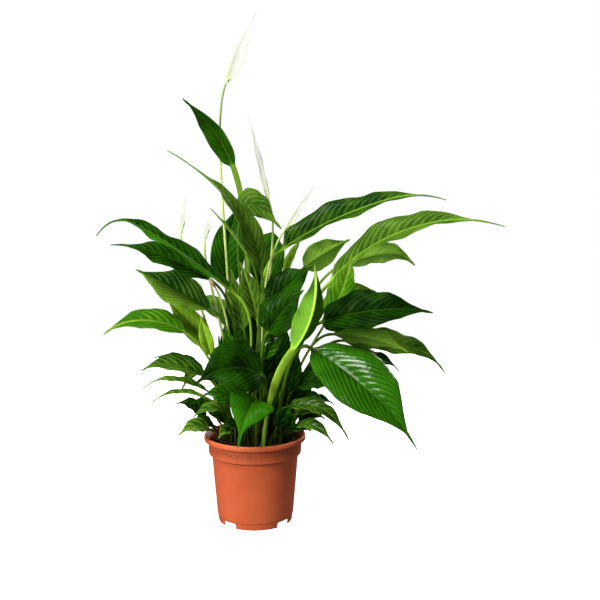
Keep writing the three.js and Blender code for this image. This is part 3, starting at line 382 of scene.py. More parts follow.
# Small leaves low in the crown, which only show between the others: root, base, middle, tip, width, face,
# fold and shine of each.
INNER_LEAVES = [
    ((-16, 12), (-21, 22, 137), (-27, 26, 195), (-34, 30, 255), 34, (-0.2, -0.9, 0.1), 18, 0.08),
    ((-4, 14), (-5, 28, 136), (-3, 31, 197), (-8, 34, 262), 34, (0.1, -0.9, 0.2), 16, 0.08),
    ((6, 20), (12, 32, 129), (17, 36, 181), (25, 40, 232), 32, (0.1, -0.9, 0.2), 16, 0.08),
    ((16, 20), (29, 28, 124), (39, 32, 169), (49, 36, 215), 30, (0.2, -0.9, 0.2), 16, 0.08),
    ((26, 14), (41, 18, 114), (54, 20, 148), (71, 24, 191), 26, (0.2, -0.9, 0.3), 16, 0.08),
    ((-10, 6), (-11, 14, 109), (-15, 16, 153), (-18, 18, 204), 26, (-0.1, -0.9, 0.1), 20, 0.08),
    ((2, 2), (8, 10, 110), (10, 10, 145), (9, 12, 188), 24, (0, -0.9, 0.1), 20, 0.08),
    ((14, 6), (23, 16, 108), (32, 18, 143), (40, 20, 189), 24, (0.1, -0.9, 0.2), 20, 0.08),
    ((-22, 8), (-31, 12, 128), (-38, 14, 168), (-43, 16, 216), 22, (-0.2, -0.9, 0.2), 20, 0.08),
    ((20, -4), (37, -4, 126), (44, -6, 150), (48, -8, 185), 20, (0.2, -0.9, 0.3), 20, 0.08),
    ((-24, -6), (-33, -8, 116), (-44, -14, 132), (-59, -20, 136), 20, (0, -0.6, 0.8), 16, 0.08),
    ((-30, -4), (-43, -8, 121), (-56, -12, 141), (-72, -16, 144), 18, (0, -0.6, 0.8), 16, 0.08),
    ((-12, -26), (-15, -34, 116), (-24, -40, 124), (-36, -46, 124), 16, (0, -0.6, 0.8), 14, 0.08),
    ((-32, -14), (-46, -20, 114), (-58, -26, 125), (-72, -32, 122), 16, (0, -0.5, 0.85), 14, 0.08),
    ((-6, -30), (-8, -40, 124), (-11, -46, 142), (-18, -50, 154), 18, (-0.2, -0.8, 0.5), 14, 0.8),
    ((30, -24), (43, -34, 113), (54, -40, 121), (66, -48, 118), 16, (0.1, -0.6, 0.8), 14, 0.08),
    ((36, -10), (51, -12, 117), (66, -16, 129), (82, -20, 125), 18, (0, -0.6, 0.8), 14, 0.08),
    ((28, -30), (37, -38, 117), (42, -44, 130), (51, -50, 138), 16, (0.3, -0.8, 0.5), 14, 0.08),
    ((18, -34), (27, -42, 120), (35, -46, 137), (46, -50, 150), 18, (0.3, -0.8, 0.5), 14, 0.7),
    ((12, -20), (16, -22, 124), (21, -24, 144), (30, -26, 165), 18, (0.2, -0.9, 0.3), 18, 0.08),
    ((-13, 2), (-18, 6, 190), (-22, 8, 235), (-26, 12, 284), 30, (0.1, -0.9, 0.2), 16, 0.08),
    ((5, 10), (4, 16, 205), (6, 18, 250), (4, 22, 300), 34, (0, -0.9, 0.2), 16, 0.08),
    ((10, 8), (18, 12, 170), (26, 14, 205), (34, 18, 244), 34, (0.1, -0.9, 0.2), 16, 0.08),
    ((9, -20), (12, -28, 196), (22, -30, 212), (38, -34, 226), 20, (-0.2, -0.8, 0.5), 14, 0.9),
    ((6, -14), (4, -22, 168), (12, -24, 196), (18, -26, 226), 22, (0.1, -0.9, 0.2), 16, 0.08),
    ((22, -10), (34, -14, 150), (44, -18, 178), (52, -22, 208), 24, (0.2, -0.9, 0.3), 16, 0.08),
    ((-36, 8), (-59, 8, 116), (-75, 10, 135), (-94, 12, 135), 20, (0, -0.4, 0.9), 14, 0.08),
    ((40, 10), (53, 12, 123), (73, 14, 140), (94, 16, 133), 20, (0, -0.4, 0.9), 14, 0.08),
    ((-18, 30), (-36, 50, 131), (-52, 66, 163), (-67, 80, 160), 30, (0, 0.2, 0.95), 16, 0.08),
    ((10, 34), (13, 56, 134), (23, 74, 169), (33, 92, 157), 30, (0, 0.2, 0.95), 16, 0.08),
]

# ---- shapes ----


def smooth(t):
    t = np.clip(t, 0, 1)
    return t * t * (3 - 2 * t)


def mix(a, b, t):
    return a + (b - a) * t


def unit(v):
    v = np.asarray(v, float)
    return v / np.linalg.norm(v)


def across(direction, wish):
    """The part of a wished direction that is square to another, at length 1."""
    return unit(wish - direction * np.dot(wish, direction))


def quadratic(a, through, b, t):
    """Points of a curve from a to b that passes a third point halfway."""
    a, through, b = (np.asarray(p, float) for p in (a, through, b))
    control = 2 * through - a / 2 - b / 2
    t = np.asarray(t, float)[:, None]
    return a * (1 - t) ** 2 + 2 * control * t * (1 - t) + b * t ** 2


def stem_line(root, end, end_direction, steps, bending):
    """A stem's line from inside the soil: straight up out of its hole, then bending into what it carries."""
    start = np.array([*root, SOIL_TOP + 3], float)
    end = np.asarray(end, float)
    reach = np.linalg.norm(end - start)
    rise = np.array([*(end - start)[:2] * STEM_RISE[0], reach * STEM_RISE[1]])
    control = (start, start + rise, end - unit(end_direction) * reach * bending, end)
    t = (np.arange(steps) / steps)[:, None]
    weights = ((1 - t) ** 3, 3 * t * (1 - t) ** 2, 3 * t ** 2 * (1 - t), t ** 3)
    curve = sum(w * c for w, c in zip(weights, control))
    return np.vstack([[*root, SOIL_TOP - STEM_DEPTH], curve])


def carried(points, face, start):
    """Directions along a line, and the up and side directions carried along it without twisting."""
    along = np.gradient(points, axis=0)
    along /= np.linalg.norm(along, axis=1)[:, None]
    up = np.zeros_like(points)
    up[start] = across(along[start], np.asarray(face, float))
    for i in range(start + 1, len(points)):
        up[i] = across(along[i], up[i - 1])
    for i in range(start - 1, -1, -1):
        up[i] = across(along[i], up[i + 1])
    return along, up, np.cross(along, up)


def outline(t, widest, drip):
    """Half a blade's width at t, as a share of its widest: full, and narrowing into a thread-like tip."""
    on_body = np.minimum(t / (1 - drip), BODY_END)
    swell = np.sin(np.pi * on_body ** (math.log(0.5) / math.log(widest))) ** FULLNESS
    return swell * (1 - POINTING * np.maximum(0, (on_body - DROOP_FROM) / (1 - DROOP_FROM)))


def petiole_radius(width):
    narrow, wide = LEAF_WIDTHS
    return mix(*PETIOLE_RADII, smooth((width - narrow) / (wide - narrow)))


def vein_phase(share, t, half, spread, length):
    """Counts a blade's side veins: whole numbers lie on them."""
    side = np.abs(share)
    run = VEIN_RUN[0] * spread + VEIN_RUN[1] * half
    forward = run * (VEIN_SWEEP[0] * side + VEIN_SWEEP[1] * side ** 2)
    return (t * length - forward) / VEIN_SPACING + 0.5 * (share > 0)


class Blade:
    """The two faces of a leaf or hood as grids of points, with what its finish needs to know at each."""

    def __init__(self, points, t, on_stem, face, form, columns):
        self.t = t[:, None]
        self.flat = smooth(self.t / form["flat_by"])
        start = int(np.argmin(np.abs(t - FACE_AT)))
        _, up, side = carried(points, face, start)
        angle = np.radians(form["twist"]) * (self.t - FACE_AT)
        self.up = up * np.cos(angle) + side * np.sin(angle)
        self.side = side * np.cos(angle) - up * np.sin(angle)
        even = np.linspace(-1, 1, columns)
        self.share = np.sign(even) * (COLUMN_SPREAD[0] * np.abs(even) + COLUMN_SPREAD[1] * even ** 2)
        self.even = (even + 1) / 2
        self.points = points
        self.form = form
        knee = KNEE_SWELLING * np.exp(-((on_stem - KNEE_AT) / KNEE_LENGTH) ** 2)
        self.round = form["round"] * (1 + knee)[:, None]
        widening = form["widening"] * smooth(1 - on_stem / SHEATH_LENGTH)
        wing = form["wing"] * smooth((on_stem - WING_FROM) / WING_OVER)
        self.sheath = (form["sheath"] * (1 + widening) + wing)[:, None]
        self.swell = outline(t, form["widest"], form["drip"])
        taper = form["taper"] * np.clip((1 - t) / form["drip"], 0, 1) * smooth(t * 4 - 2)
        thread = mix(form["round"], TIP_HALF_WIDTH, t) + taper
        self.half = np.maximum(self.swell * form["width"] / 2, thread)[:, None]

    def relief(self):
        """The blade swells between its side veins, less so near the midrib and the edge."""
        form, side = self.form, np.abs(self.share)
        phase = vein_phase(self.share, self.t, self.half, form["width"] / 2, form["length"])
        swell = np.abs(np.sin(np.pi * phase)) ** 0.8 - 0.6
        patch = VEIN_PATCHES[0] * self.t + VEIN_PATCHES[1] * self.share
        swell *= 0.75 + 0.35 * np.sin(2 * np.pi * patch)
        fade = smooth(side / 0.14) * (1 - 0.6 * side ** 2) * smooth(self.swell / 0.5)[:, None]
        return form["veins"] * swell * fade

    def sheet(self, lower):
        form, t, side = self.form, self.t, np.abs(self.share)
        fold = np.radians(form["fold"]) * (1 - FLATTENING * t)
        from_rib = side * self.half
        rib = RIB_DEPTH * (1 - RIB_FADING * t) * np.exp(-(from_rib / RIB_HALF_WIDTH) ** 2) * form["rib"]
        slope = np.exp(-(from_rib / RIB_HALF_WIDTH * GROOVE_SLIMNESS) ** 2)
        groove = GROOVE_DEPTH * (1 - GROOVE_FADING * t) * slope * form["rib"]
        right = self.share > 0
        ripple = np.sin(2 * np.pi * EDGE_WAVES * t + np.where(right, EDGE_WAVE_SHIFT, 0)) * side ** 2
        shift = np.where(right, FRILL_SHIFTS[1], FRILL_SHIFTS[0])
        frill = FRILL * np.sin(2 * np.pi * FRILL_WAVES * t + shift) * side ** 4
        waves = form["wave"] * (ripple + frill) * np.minimum(1, self.swell * WAVES_FULL_BY)[:, None]
        arch = self.half * ARCH * (1 - (2 * side - 1) ** 2)
        thick = BLADE_THICKNESS * (1 - EDGE_THINNING * side ** 6) / np.cos(fold)
        rise = side * self.half * np.sin(fold) + arch + waves + self.relief()
        rise += -thick - rib if lower else -groove
        turn = np.pi * (1 - SEAM - (1 - 2 * SEAM) * self.even) * (-1 if lower else 1)
        channel = 0 if lower else CHANNEL_DEPTH * np.exp(-((self.even - 0.5) / CHANNEL_WIDTH) ** 2)
        x = mix(self.sheath * np.cos(turn), self.share * self.half * np.cos(fold), self.flat)
        z = mix(self.round * (np.sin(turn) - channel), rise, self.flat)
        return self.points[:, None] + self.side[:, None] * x[..., None] + self.up[:, None] * z[..., None]

    def fields(self, look):
        """What the finish reads at each point of one face."""
        grid = np.ones((len(self.t), len(self.share)))
        form = self.form
        return {
            "blade": np.stack([grid * self.share, grid * self.t, grid * self.flat], -1),
            "measure": np.stack([grid * self.half, grid * form["length"], grid * form["width"] / 2], -1),
            "look": grid[..., None] * np.array(look[:3]),
            "marks": grid[..., None] * np.array(look[3:]),
        }


def grid_faces(rings, columns):
    """Quads of a closed shell over an upper and a lower grid of points, facing outwards."""
    upper = np.arange(rings * columns).reshape(rings, columns)
    lower = upper + rings * columns
    quads = [
        (upper[:-1, :-1], upper[:-1, 1:], upper[1:, 1:], upper[1:, :-1]),
        (lower[:-1, :-1], lower[1:, :-1], lower[1:, 1:], lower[:-1, 1:]),
        (upper[:-1, -1], lower[:-1, -1], lower[1:, -1], upper[1:, -1]),
        (upper[:-1, 0], upper[1:, 0], lower[1:, 0], lower[:-1, 0]),
        (upper[0, :-1], lower[0, :-1], lower[0, 1:], upper[0, 1:]),
        (upper[-1, :-1], upper[-1, 1:], lower[-1, 1:], lower[-1, :-1]),
    ]
    return np.vstack([np.stack([a.ravel() for a in quad], -1) for quad in quads])


def new_object(name, data):
    made = bpy.data.objects.new(name, data)
    bpy.context.scene.collection.objects.link(made)
    return made


def make_mesh(name, points, faces, fields=None):
    """A smooth-shaded mesh in metres from points in millimetres, with named fields on its points."""
    mesh = bpy.data.meshes.new(name)
    mesh.from_pydata((np.asarray(points) * MM).tolist(), [], [list(f) for f in faces])
    for key, values in (fields or {}).items():
        kind, slot = ("FLOAT_VECTOR", "vector") if values.ndim == 2 else ("FLOAT", "value")
        mesh.attributes.new(key, kind, "POINT").data.foreach_set(slot, values.astype(np.float32).ravel())
    mesh.shade_smooth()
    return mesh


def blade_shell(blade, look):
    """Points, faces and fields of a closed shell. The look is six numbers: how light the upper side is, its
    shine, how pale the petiole is, how light the underside is, how strongly the side veins show and the
    painted light and shade on its halves, how much lighter the right half is than the left."""
    upper, lower = blade.sheet(False), blade.sheet(True)
    fields = blade.fields(look)
    points = np.vstack([upper.reshape(-1, 3), lower.reshape(-1, 3)])
    both = {k: np.concatenate([v.reshape(-1, *v.shape[2:])] * 2) for k, v in fields.items()}
    both["under"] = np.repeat([0.0, 1.0], upper.shape[0] * upper.shape[1])
    return points, grid_faces(*upper.shape[:2]), both


def joined(shells):
    """Several shells as one."""
    points, faces, count = [], [], 0
    for shell in shells:
        points.append(shell[0])
        faces.append(shell[1] + count)
        count += len(shell[0])
    fields = {k: np.concatenate([s[2][k] for s in shells]) for k in shells[0][2]}
    return np.vstack(points), np.vstack(faces), fields


def leaf_shell(leaf, light):
    """A leaf's shell. The light is how light its upper side is where its row doesn't say."""
    spans = ((leaf.middle, leaf.base), (leaf.tip, leaf.middle))
    length = sum(np.linalg.norm(np.subtract(a, b)) for a, b in spans)
    rings = int(np.clip(length / RING_SPACING, *RINGS))
    t = np.linspace(0, 1, rings + 1)
    midrib = quadratic(leaf.base, leaf.middle, leaf.tip, t)
    direction = midrib[1] - midrib[0]
    midrib[:, 2] -= leaf.droop * np.maximum(0, (t - DROOP_FROM) / (1 - DROOP_FROM)) ** 2
    stem = stem_line(leaf.root, leaf.base, direction, PETIOLE_STEPS, PETIOLE_BEND)
    on_stem = np.concatenate([np.arange(len(stem)) / len(stem), np.ones(rings + 1)])
    thin = float(petiole_radius(leaf.width))
    form = dict(width=leaf.width, length=length, fold=leaf.fold, twist=leaf.twist, wave=leaf.wave,
                round=thin, sheath=thin, widening=SHEATH_WIDENING, wing=leaf.wing, flat_by=FLAT_BY, rib=1,
                widest=leaf.widest, drip=leaf.drip, taper=TIP_TAPER * min(1, leaf.width / TAPER_WIDTH),
                veins=VEIN_DEPTH * min(1, leaf.width / VEIN_WIDTH) * leaf.veining)
    t_all = np.concatenate([np.zeros(len(stem)), t])
    columns = COLUMNS if leaf.width > NARROW else FEWER_COLUMNS
    blade = Blade(np.vstack([stem, midrib]), t_all, on_stem, leaf.face, form, columns)
    own_light = light if leaf.light is None else leaf.light
    look = (own_light, leaf.shine, leaf.pale_stem, leaf.back_light, leaf.veining, leaf.painted_half_light)
    return blade_shell(blade, look)


def tube_shell(points, radii, face=(0, -1, 0), sides=14):
    """A round stem along a line of points, closed at both ends, as points and quads."""
    _, up, side = carried(points, face, 0)
    turn = 2 * np.pi * np.arange(sides) / sides
    around = side[:, None] * np.cos(turn)[None, :, None] - up[:, None] * np.sin(turn)[None, :, None]
    grid = points[:, None] + around * np.asarray(radii)[:, None, None]
    index = np.arange(len(points) * sides).reshape(len(points), sides)
    after = np.roll(index, -1, axis=1)
    walls = np.stack([index[:-1], after[:-1], after[1:], index[1:]], -1).reshape(-1, 4)
    faces = [list(f) for f in walls] + [list(index[0][::-1]), list(index[-1])]
    return grid.reshape(-1, 3), faces


# ---- finishes: nodes written as sums ----


class Value:
    """A number or vector that varies over a surface. Sums on it add Math nodes."""

    def __init__(self, nodes, socket):
        self.nodes = nodes
        self.socket = socket

    def maths(self, operation, *values):
        return self.nodes.node("ShaderNodeMath", {"operation": operation}, dict(enumerate(values)))

    def __abs__(self):
        return self.maths("ABSOLUTE", self)

    def above(self, edge):
        return self.maths("GREATER_THAN", self, edge)

    def fraction(self):
        return self.maths("FRACT", self)

    def eased(self, low, high, to_low=0.0, to_high=1.0):
        """Goes smoothly between two values as this one goes from low to high."""
        settings = {"interpolation_type": "SMOOTHSTEP"}
        inputs = {0: self, 1: low, 2: high, 3: to_low, 4: to_high}
        return self.nodes.node("ShaderNodeMapRange", settings, inputs)


def add_operator(name, operation):
    """Makes a Python operator on a Value a Math node, whichever side of it the Value is on."""
    setattr(Value, f"__{name}__", lambda self, other: self.maths(operation, self, other))
    setattr(Value, f"__r{name}__", lambda self, other: self.maths(operation, other, self))


for operator in (("add", "ADD"), ("sub", "SUBTRACT"), ("mul", "MULTIPLY"), ("truediv", "DIVIDE"),
                 ("pow", "POWER")):
    add_operator(*operator)


class NodeSet:
    """The nodes of one material or node tree."""

    def __init__(self, tree):
        self.tree = tree

    def node(self, kind, settings=None, inputs=None, output=0):
        """Adds a node: its settings first, then the values or links of its sockets. Gives one output."""
        made = self.tree.nodes.new(kind)
        for key, value in (settings or {}).items():
            setattr(made, key, value)
        for key, value in (inputs or {}).items():
            if isinstance(value, Value):
                self.tree.links.new(value.socket, made.inputs[key])
            else:
                made.inputs[key].default_value = value
        return Value(self, made.outputs[output])

    def strewn(self, points, thing, rotation, scale, material):
        """Ends a geometry tree with copies of a thing on points, in their finish."""
        inputs = {"Points": points, "Instance": thing, "Rotation": rotation, "Scale": scale}
        copies = self.node("GeometryNodeInstanceOnPoints", inputs=inputs)
        real = self.node("GeometryNodeRealizeInstances", inputs={0: copies})
        done = self.node("GeometryNodeSetMaterial", inputs={"Geometry": real, "Material": material})
        self.tree.links.new(done.socket, self.tree.nodes.new("NodeGroupOutput").inputs[0])

    def field(self, name, output="Fac"):
        return self.node("ShaderNodeAttribute", {"attribute_name": name}, output=output)

    def parts(self, vector):
        """The three numbers of a vector."""
        return [self.node("ShaderNodeSeparateXYZ", inputs={0: vector}, output=i) for i in range(3)]

    def place(self, scale=(1, 1, 1)):
        """Object coordinates in millimetres, stretched."""
        coordinates = self.node("ShaderNodeTexCoord", output="Object")
        inputs = {"Vector": coordinates, "Scale": [s / MM for s in scale]}
        return self.node("ShaderNodeMapping", inputs=inputs)

    def noise(self, vector, scale, detail=2.0, roughness=0.5):
        inputs = {"Vector": vector, "Scale": scale, "Detail": detail, "Roughness": roughness}
        return self.node("ShaderNodeTexNoise", inputs=inputs)

    def blend(self, factor, a, b):
        """Two colours mixed."""
        return self.node("ShaderNodeMix", {"data_type": "RGBA"}, {0: factor, 6: a, 7: b}, output=2)

    def bump(self, height, distance, strength=1.0):
        """A relief, its height in millimetres."""
        inputs = {"Height": height, "Distance": distance * MM, "Strength": strength}
        return self.node("ShaderNodeBump", inputs=inputs)


def colour(text):
    """An opaque colour from its six hexadecimal digits, as the light it sends back."""
    levels = [int(text[i:i + 2], 16) / 255 for i in (0, 2, 4)]
    return [c / 12.92 if c <= 0.04045 else ((c + 0.055) / 1.055) ** 2.4 for c in levels] + [1]


def new_finish(name, **constants):
    """A material with one Principled shader. Gives the material, its node set and the shader."""
    material = bpy.data.materials.new(name)
    material.use_nodes = True
    shader = material.node_tree.nodes["Principled BSDF"]
    for key, value in constants.items():
        shader.inputs[key.replace("_", " ")].default_value = value
    return material, NodeSet(material.node_tree), shader


def feed(shader, **links):
    for key, value in links.items():
        value.nodes.tree.links.new(value.socket, shader.inputs[key.replace("_", " ")])


LEAF_COLOURS = {
    # upper side in the dark and the light, underside in the dark and the light, veins
    "dark": ("051c00", "2e6c08", "46701a", "7aa43a", "3c7012"),
    "mid": ("0e3604", "6a942a", "4e7a1a", "a8e056", "82b43c"),
    "young": ("2c6204", "86b42a", "508c1e", "86bc3c", "b4d458"),
}
PETIOLE_COLOURS = ("183408", "467018", "70b014", "bce254")  # dark and light, of usual and of pale ones
# painted shade: the dark colour a petiole takes near the soil, under the crown
PETIOLE_FOOT_SHADE = "1c1c0a"
SOIL_COLOURS = (  # material, its short name here, dark and light
    ("soil", "soil", "120b08", "2c1b13"),
    ("soil crumb", "crumb", "1a110c", "84614c"),
    ("soil fibre", "fibre", "4a3022", "8a6248"),
)


def leaf_finish(tone):
    """Waxy above and matt below, with a midrib, painted light on the bands between its side veins and
    painted shade along them, painted light and shade on its halves, and a petiole with painted shade near
    the soil.
    """
    dark, light, back_dark, back_light, vein_colour = (colour(c) for c in LEAF_COLOURS[tone])
    material, n, shader = new_finish("leaf_" + tone, Specular_IOR_Level=0.02, Coat_Roughness=0.13,
                                     Subsurface_Weight=0.12, Subsurface_Scale=0.001)
    shader.inputs["Subsurface Radius"].default_value = (0.5, 1.0, 0.15)
    share, t, flat = n.parts(n.field("blade", "Vector"))
    half, length, spread = n.parts(n.field("measure", "Vector"))
    lightness, shine, paleness = n.parts(n.field("look", "Vector"))
    back_lightness, veining, painted_half_light = n.parts(n.field("marks", "Vector"))
    under = n.field("under").above(0.5)
    side = abs(share)
    right = 1 - share.above(0)
    run = spread * VEIN_RUN[0] + half * VEIN_RUN[1]
    forward = run * (side * VEIN_SWEEP[0] + side * side * VEIN_SWEEP[1])
    phase = (t * length - forward) / VEIN_SPACING + share.above(0) * 0.5
    nearness = abs(phase.fraction() - 0.5) * 2
    side_vein = nearness.eased(0.84, 1.0) * side.eased(0.97, 0.7)
    # painted light: lit_band is lighter where the blade swells between its side veins
    lit_band = abs(phase.fraction() - 0.42).eased(0.3, 0.04) * side.eased(0.02, 0.2)
    fine_vein = (abs((phase * 4).fraction() - 0.5) * 2).eased(0.75, 1.0)
    from_rib = side * half
    midrib = (from_rib - paleness).eased(1.4, 0.4) * t.eased(1.0, 0.75, 0.25, 1.0)
    edge = ((1 - side) * half).eased(0.9, 0.2)
    place = n.place()
    cloud = n.noise(place, 0.035, 2.0)
    grain = n.noise(place, 1.1, 3.0, 0.6)
    shade = cloud.eased(0.3, 0.7) * 0.35 + lightness * 0.5 + (lit_band * veining + 1 - veining) * 0.5 - 0.1
    # painted light and shade: one half of the upper side lighter than the other
    shade = shade + painted_half_light * (right - 0.5)
    top = n.blend(shade, dark, light)
    # painted shade along the side veins, where their grooves lie
    top = n.blend(side_vein * veining * 0.7, top, dark)
    top = n.blend(fine_vein * 0.15, top, dark)
    top = n.blend(edge * 0.25, top, vein_colour)
    below = n.blend(back_lightness + grain.eased(0.3, 0.7, -0.1, 0.1), back_dark, back_light)
    below = n.blend(side_vein * 0.3, below, vein_colour)
    # painted shade: where the half light is negative, the underside darkens on its right half and towards
    # its tip
    below = n.blend((right * 0.9 + t.eased(0.55, 0.8)) * painted_half_light.eased(0.0, -1.0), below, dark)
    streaks = n.noise(n.place((1, 1, 0.08)), 0.9, 2.0)
    usual_stalk, pale_stalk = (n.blend(streaks, colour(PETIOLE_COLOURS[i]), colour(PETIOLE_COLOURS[i + 1]))
                               for i in (0, 2))
    stalk = n.blend(paleness, usual_stalk, pale_stalk)
    height = n.parts(place)[2]
    # painted shade on the petioles' lower parts, up to 60 mm above the soil
    painted_shade_near_soil = height.eased(SOIL_TOP + 60, SOIL_TOP + 5) * (0.95 - paleness * 0.4)
    stalk = n.blend(painted_shade_near_soil, stalk, colour(PETIOLE_FOOT_SHADE))
    rib_colour = n.blend(t.eased(0.2, 0.8), stalk, vein_colour)
    body = n.blend(under, top, below)
    rib_strength = paleness * 0.7 + 0.15 + under * 0.3
    body = n.blend(midrib * rib_strength, body, rib_colour)
    body = n.blend(flat.eased(0.85, 0.15), body, stalk)
    gloss = grain * 0.1 + 0.42 + under * 0.1
    crest = lit_band * 0.8 + 0.2
    wax = shine * (1 - under) * flat * crest * (right * 0.9 + 0.1) * t.eased(0.85, 0.3, 0.4, 1.0)
    relief = n.noise(place, 0.3, 2.0) * 0.12 + fine_vein * -0.05 + side_vein * -0.1
    feed(shader, Base_Color=body, Roughness=gloss, Coat_Weight=wax, Normal=n.bump(relief, 1.0, 0.6))
    return material


def stalk_finish():
    material, n, shader = new_finish("stalk_green")
    streaks = n.noise(n.place((1, 1, 0.06)), 1.4, 3.0)
    height = n.parts(n.place())[2]
    body = n.blend(streaks.eased(0.3, 0.7), colour("a4c44c"), colour("dcea94"))
    body = n.blend(height.eased(260, 150), body, colour("3f5f18"))
    body = n.blend(height.eased(430, 470) * 0.8, body, colour("6d8c42"))
    feed(shader, Base_Color=body, Roughness=streaks * 0.2 + 0.4)
    return material


def hood_finish():
    """White within and without, green along the lower back and at the very tip, with fine long veins, and
    a faint painted glow for the light that shines through it.
    """
    # painted light: a faint glow of the hood's own, standing in for light that shines through it
    material, n, shader = new_finish("spathe_white", Specular_IOR_Level=0.1, Emission_Strength=0.3)
    shader.inputs["Emission Color"].default_value = colour("f2f4ea")  # light that shines through
    share, t, flat = n.parts(n.field("blade", "Vector"))
    half = n.parts(n.field("measure", "Vector"))[0]
    under = n.field("under").above(0.5)
    side = abs(share)
    lines = abs((side * 5.5).fraction() - 0.5) * 2
    long_vein = lines.eased(0.75, 1.0)
    cloud = n.noise(n.place(), 0.12, 2.0)
    body = n.blend(cloud.eased(0.3, 0.7), colour("a9aca9"), colour("a4a69f"))
    body = n.blend(long_vein * 0.2, body, colour("bfc8a2"))
    keel = (side * half).eased(2.6, 0.8) * t.eased(0.4, 0.12) * under
    body = n.blend(keel * 0.9, body, colour("a3bf52"))
    rim = ((1 - side) * half).eased(1.6, 0.4) * t.eased(0.62, 0.3)
    body = n.blend(rim * 0.8, body, colour("9dbb4c"))
    body = n.blend(t.eased(0.9, 1.0) * 0.6, body, colour("b9c68a"))
    body = n.blend(flat.eased(1.0, 0.2), body, colour("a8c25c"))
    feed(shader, Base_Color=body, Roughness=cloud * 0.15 + 0.45)
    return material


def spike_finish():
    material, n, shader = new_finish("spadix_cream")
    place = n.place()
    spots = n.node("ShaderNodeTexVoronoi", inputs={"Vector": place, "Scale": 1.3})
    body = n.blend(n.noise(place, 0.3, 2.0), colour("e9e3b5"), colour("f3efd2"))
    body = n.blend(spots.eased(0.3, 0.05), body, colour("c4c285"))
    feed(shader, Base_Color=body, Roughness=spots * 0.2 + 0.55, Normal=n.bump(spots, 0.25))
    return material


def withered_finish():
    material, n, shader = new_finish("withered_bud")
    wrinkles = n.noise(n.place((1, 1, 0.3)), 0.9, 4.0, 0.6)
    height = n.parts(n.place())[2]
    body = n.blend(wrinkles.eased(0.3, 0.7), colour("b08a62"), colour("e6cfa8"))
    body = n.blend(height.eased(279, 268), body, colour("b9cf6a"))
    body = n.blend(height.eased(200, 130), body, colour("26300e"))
    feed(shader, Base_Color=body, Roughness=wrinkles * 0.2 + 0.65, Normal=n.bump(wrinkles, 0.6))
    return material


def pot_finish():
    """Moulded terracotta-coloured plastic: an even satin with faint flow marks and a scuffed, dusty rim."""
    material, n, shader = new_finish("pot_plastic", Specular_IOR_Level=0.2)
    place = n.place()
    cloud = n.noise(place, 0.02, 3.0)
    flow = n.noise(n.place((1, 1, 0.03)), 0.6, 2.0)
    grain = n.noise(place, 2.6, 3.0, 0.7)
    x, y, z = n.parts(place)
    distance = (x * x + y * y) ** 0.5
    body = n.blend(cloud.eased(0.3, 0.7), colour("ce5f39"), colour("d86941"))
    body = n.blend(flow.eased(0.45, 0.75, 0.0, 0.18), body, colour("c65c35"))
    inside = distance.eased(58, 56.6) * z.eased(80, 90)
    dust = inside * grain.eased(0.45, 0.6)
    body = n.blend(dust * 0.75, body, colour("3a2418"))
    scuff = z.eased(POT_HEIGHT - 3, POT_HEIGHT) * grain.eased(0.55, 0.75)
    body = n.blend(scuff * 0.3, body, colour("e39a78"))
    feed(shader, Base_Color=body, Roughness=grain * 0.12 + cloud * 0.08 + 0.36,
         Normal=n.bump(grain, 0.05))
    return material


def soil_finish(name, dark, light):
    """Damp peat: nearly black, with browner crumbs."""
    material, n, shader = new_finish(name, Specular_IOR_Level=0.35)
    place = n.place()
    cells = n.node("ShaderNodeTexVoronoi", inputs={"Vector": place, "Scale": 0.55})
    grain = n.noise(place, 0.8, 4.0, 0.7)
    body = n.blend(grain.eased(0.42, 0.68), colour(dark), colour(light))
    feed(shader, Base_Color=body, Roughness=grain * 0.35 + 0.55, Normal=n.bump(grain + cells, 0.9))
    return material


def floor_finish():
    material, n, shader = new_finish("studio_floor", Specular_IOR_Level=0.1, Emission_Strength=1.0)
    shader.inputs["Emission Color"].default_value = (1, 1, 1, 1)
    cloud = n.noise(n.place(), 0.004, 2.0)
    feed(shader, Base_Color=n.blend(cloud, colour("f4f4f4"), colour("f8f8f8")), Roughness=cloud * 0.1 + 0.7)
    return material


# ---- pieces ----


def add_piece(name, mesh, material, slot, *nodes):
    """A finished piece that rides on the plant's one body and stands for its solids."""
    piece = new_object(name, mesh)
    if material is not None:
        mesh.materials.clear()
        mesh.materials.append(material)
    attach(piece, BODY)
    if nodes:
        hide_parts(*nodes)
    return piece


def light_of(index):
    """How light a leaf is by its place in the list, so that one differs a little from the next."""
    return USUAL_LIGHT + UNEVENNESS * ((index * LIGHT_STEP + LIGHT_START) % 1 - 0.5)


def add_leaves(finishes):
    for index, (name, leaf) in enumerate(LEAVES.items()):
        mesh = make_mesh(name, *leaf_shell(leaf, light_of(index)))
        add_piece("fine_" + name, mesh, finishes[leaf.tone], "leaf_" + leaf.tone, name)


def add_shoots(finishes):
    for index, leaves in enumerate(SHOOTS):
        name = f"shoot_{index + 1}"
        shells = [leaf_shell(leaf, light_of(index * 3 + k)) for k, leaf in enumerate(leaves)]
        tones = [leaf.tone for leaf in leaves]
        mesh = make_mesh(name, *joined(shells))
        piece = add_piece("fine_" + name, mesh, finishes[tones[0]], "leaf_" + tones[-1], name)
        for tone in tones[1:]:
            piece.data.materials.append(finishes[tone])
        faces = np.repeat(np.arange(len(tones)), [len(shell[1]) for shell in shells])
        piece.data.polygons.foreach_set("material_index", faces.astype(np.int32))


def add_inner_leaves(finish):
    leaves = [Leaf("dark", *form, INNER_WAVE, shine=shine) for *form, shine in INNER_LEAVES]
    # painted shade: the inner leaves are painted darker than their neighbours by INNER_SHADE
    shells = [leaf_shell(leaf, light_of(index) - INNER_SHADE) for index, leaf in enumerate(leaves)]
    add_piece("inner_leaves", make_mesh("inner_leaves", *joined(shells)), finish, "leaf_dark")


def hood_axes(bloom):
    along = unit(np.subtract(bloom.tip, bloom.foot))
    return along, across(along, np.asarray(bloom.face, float))


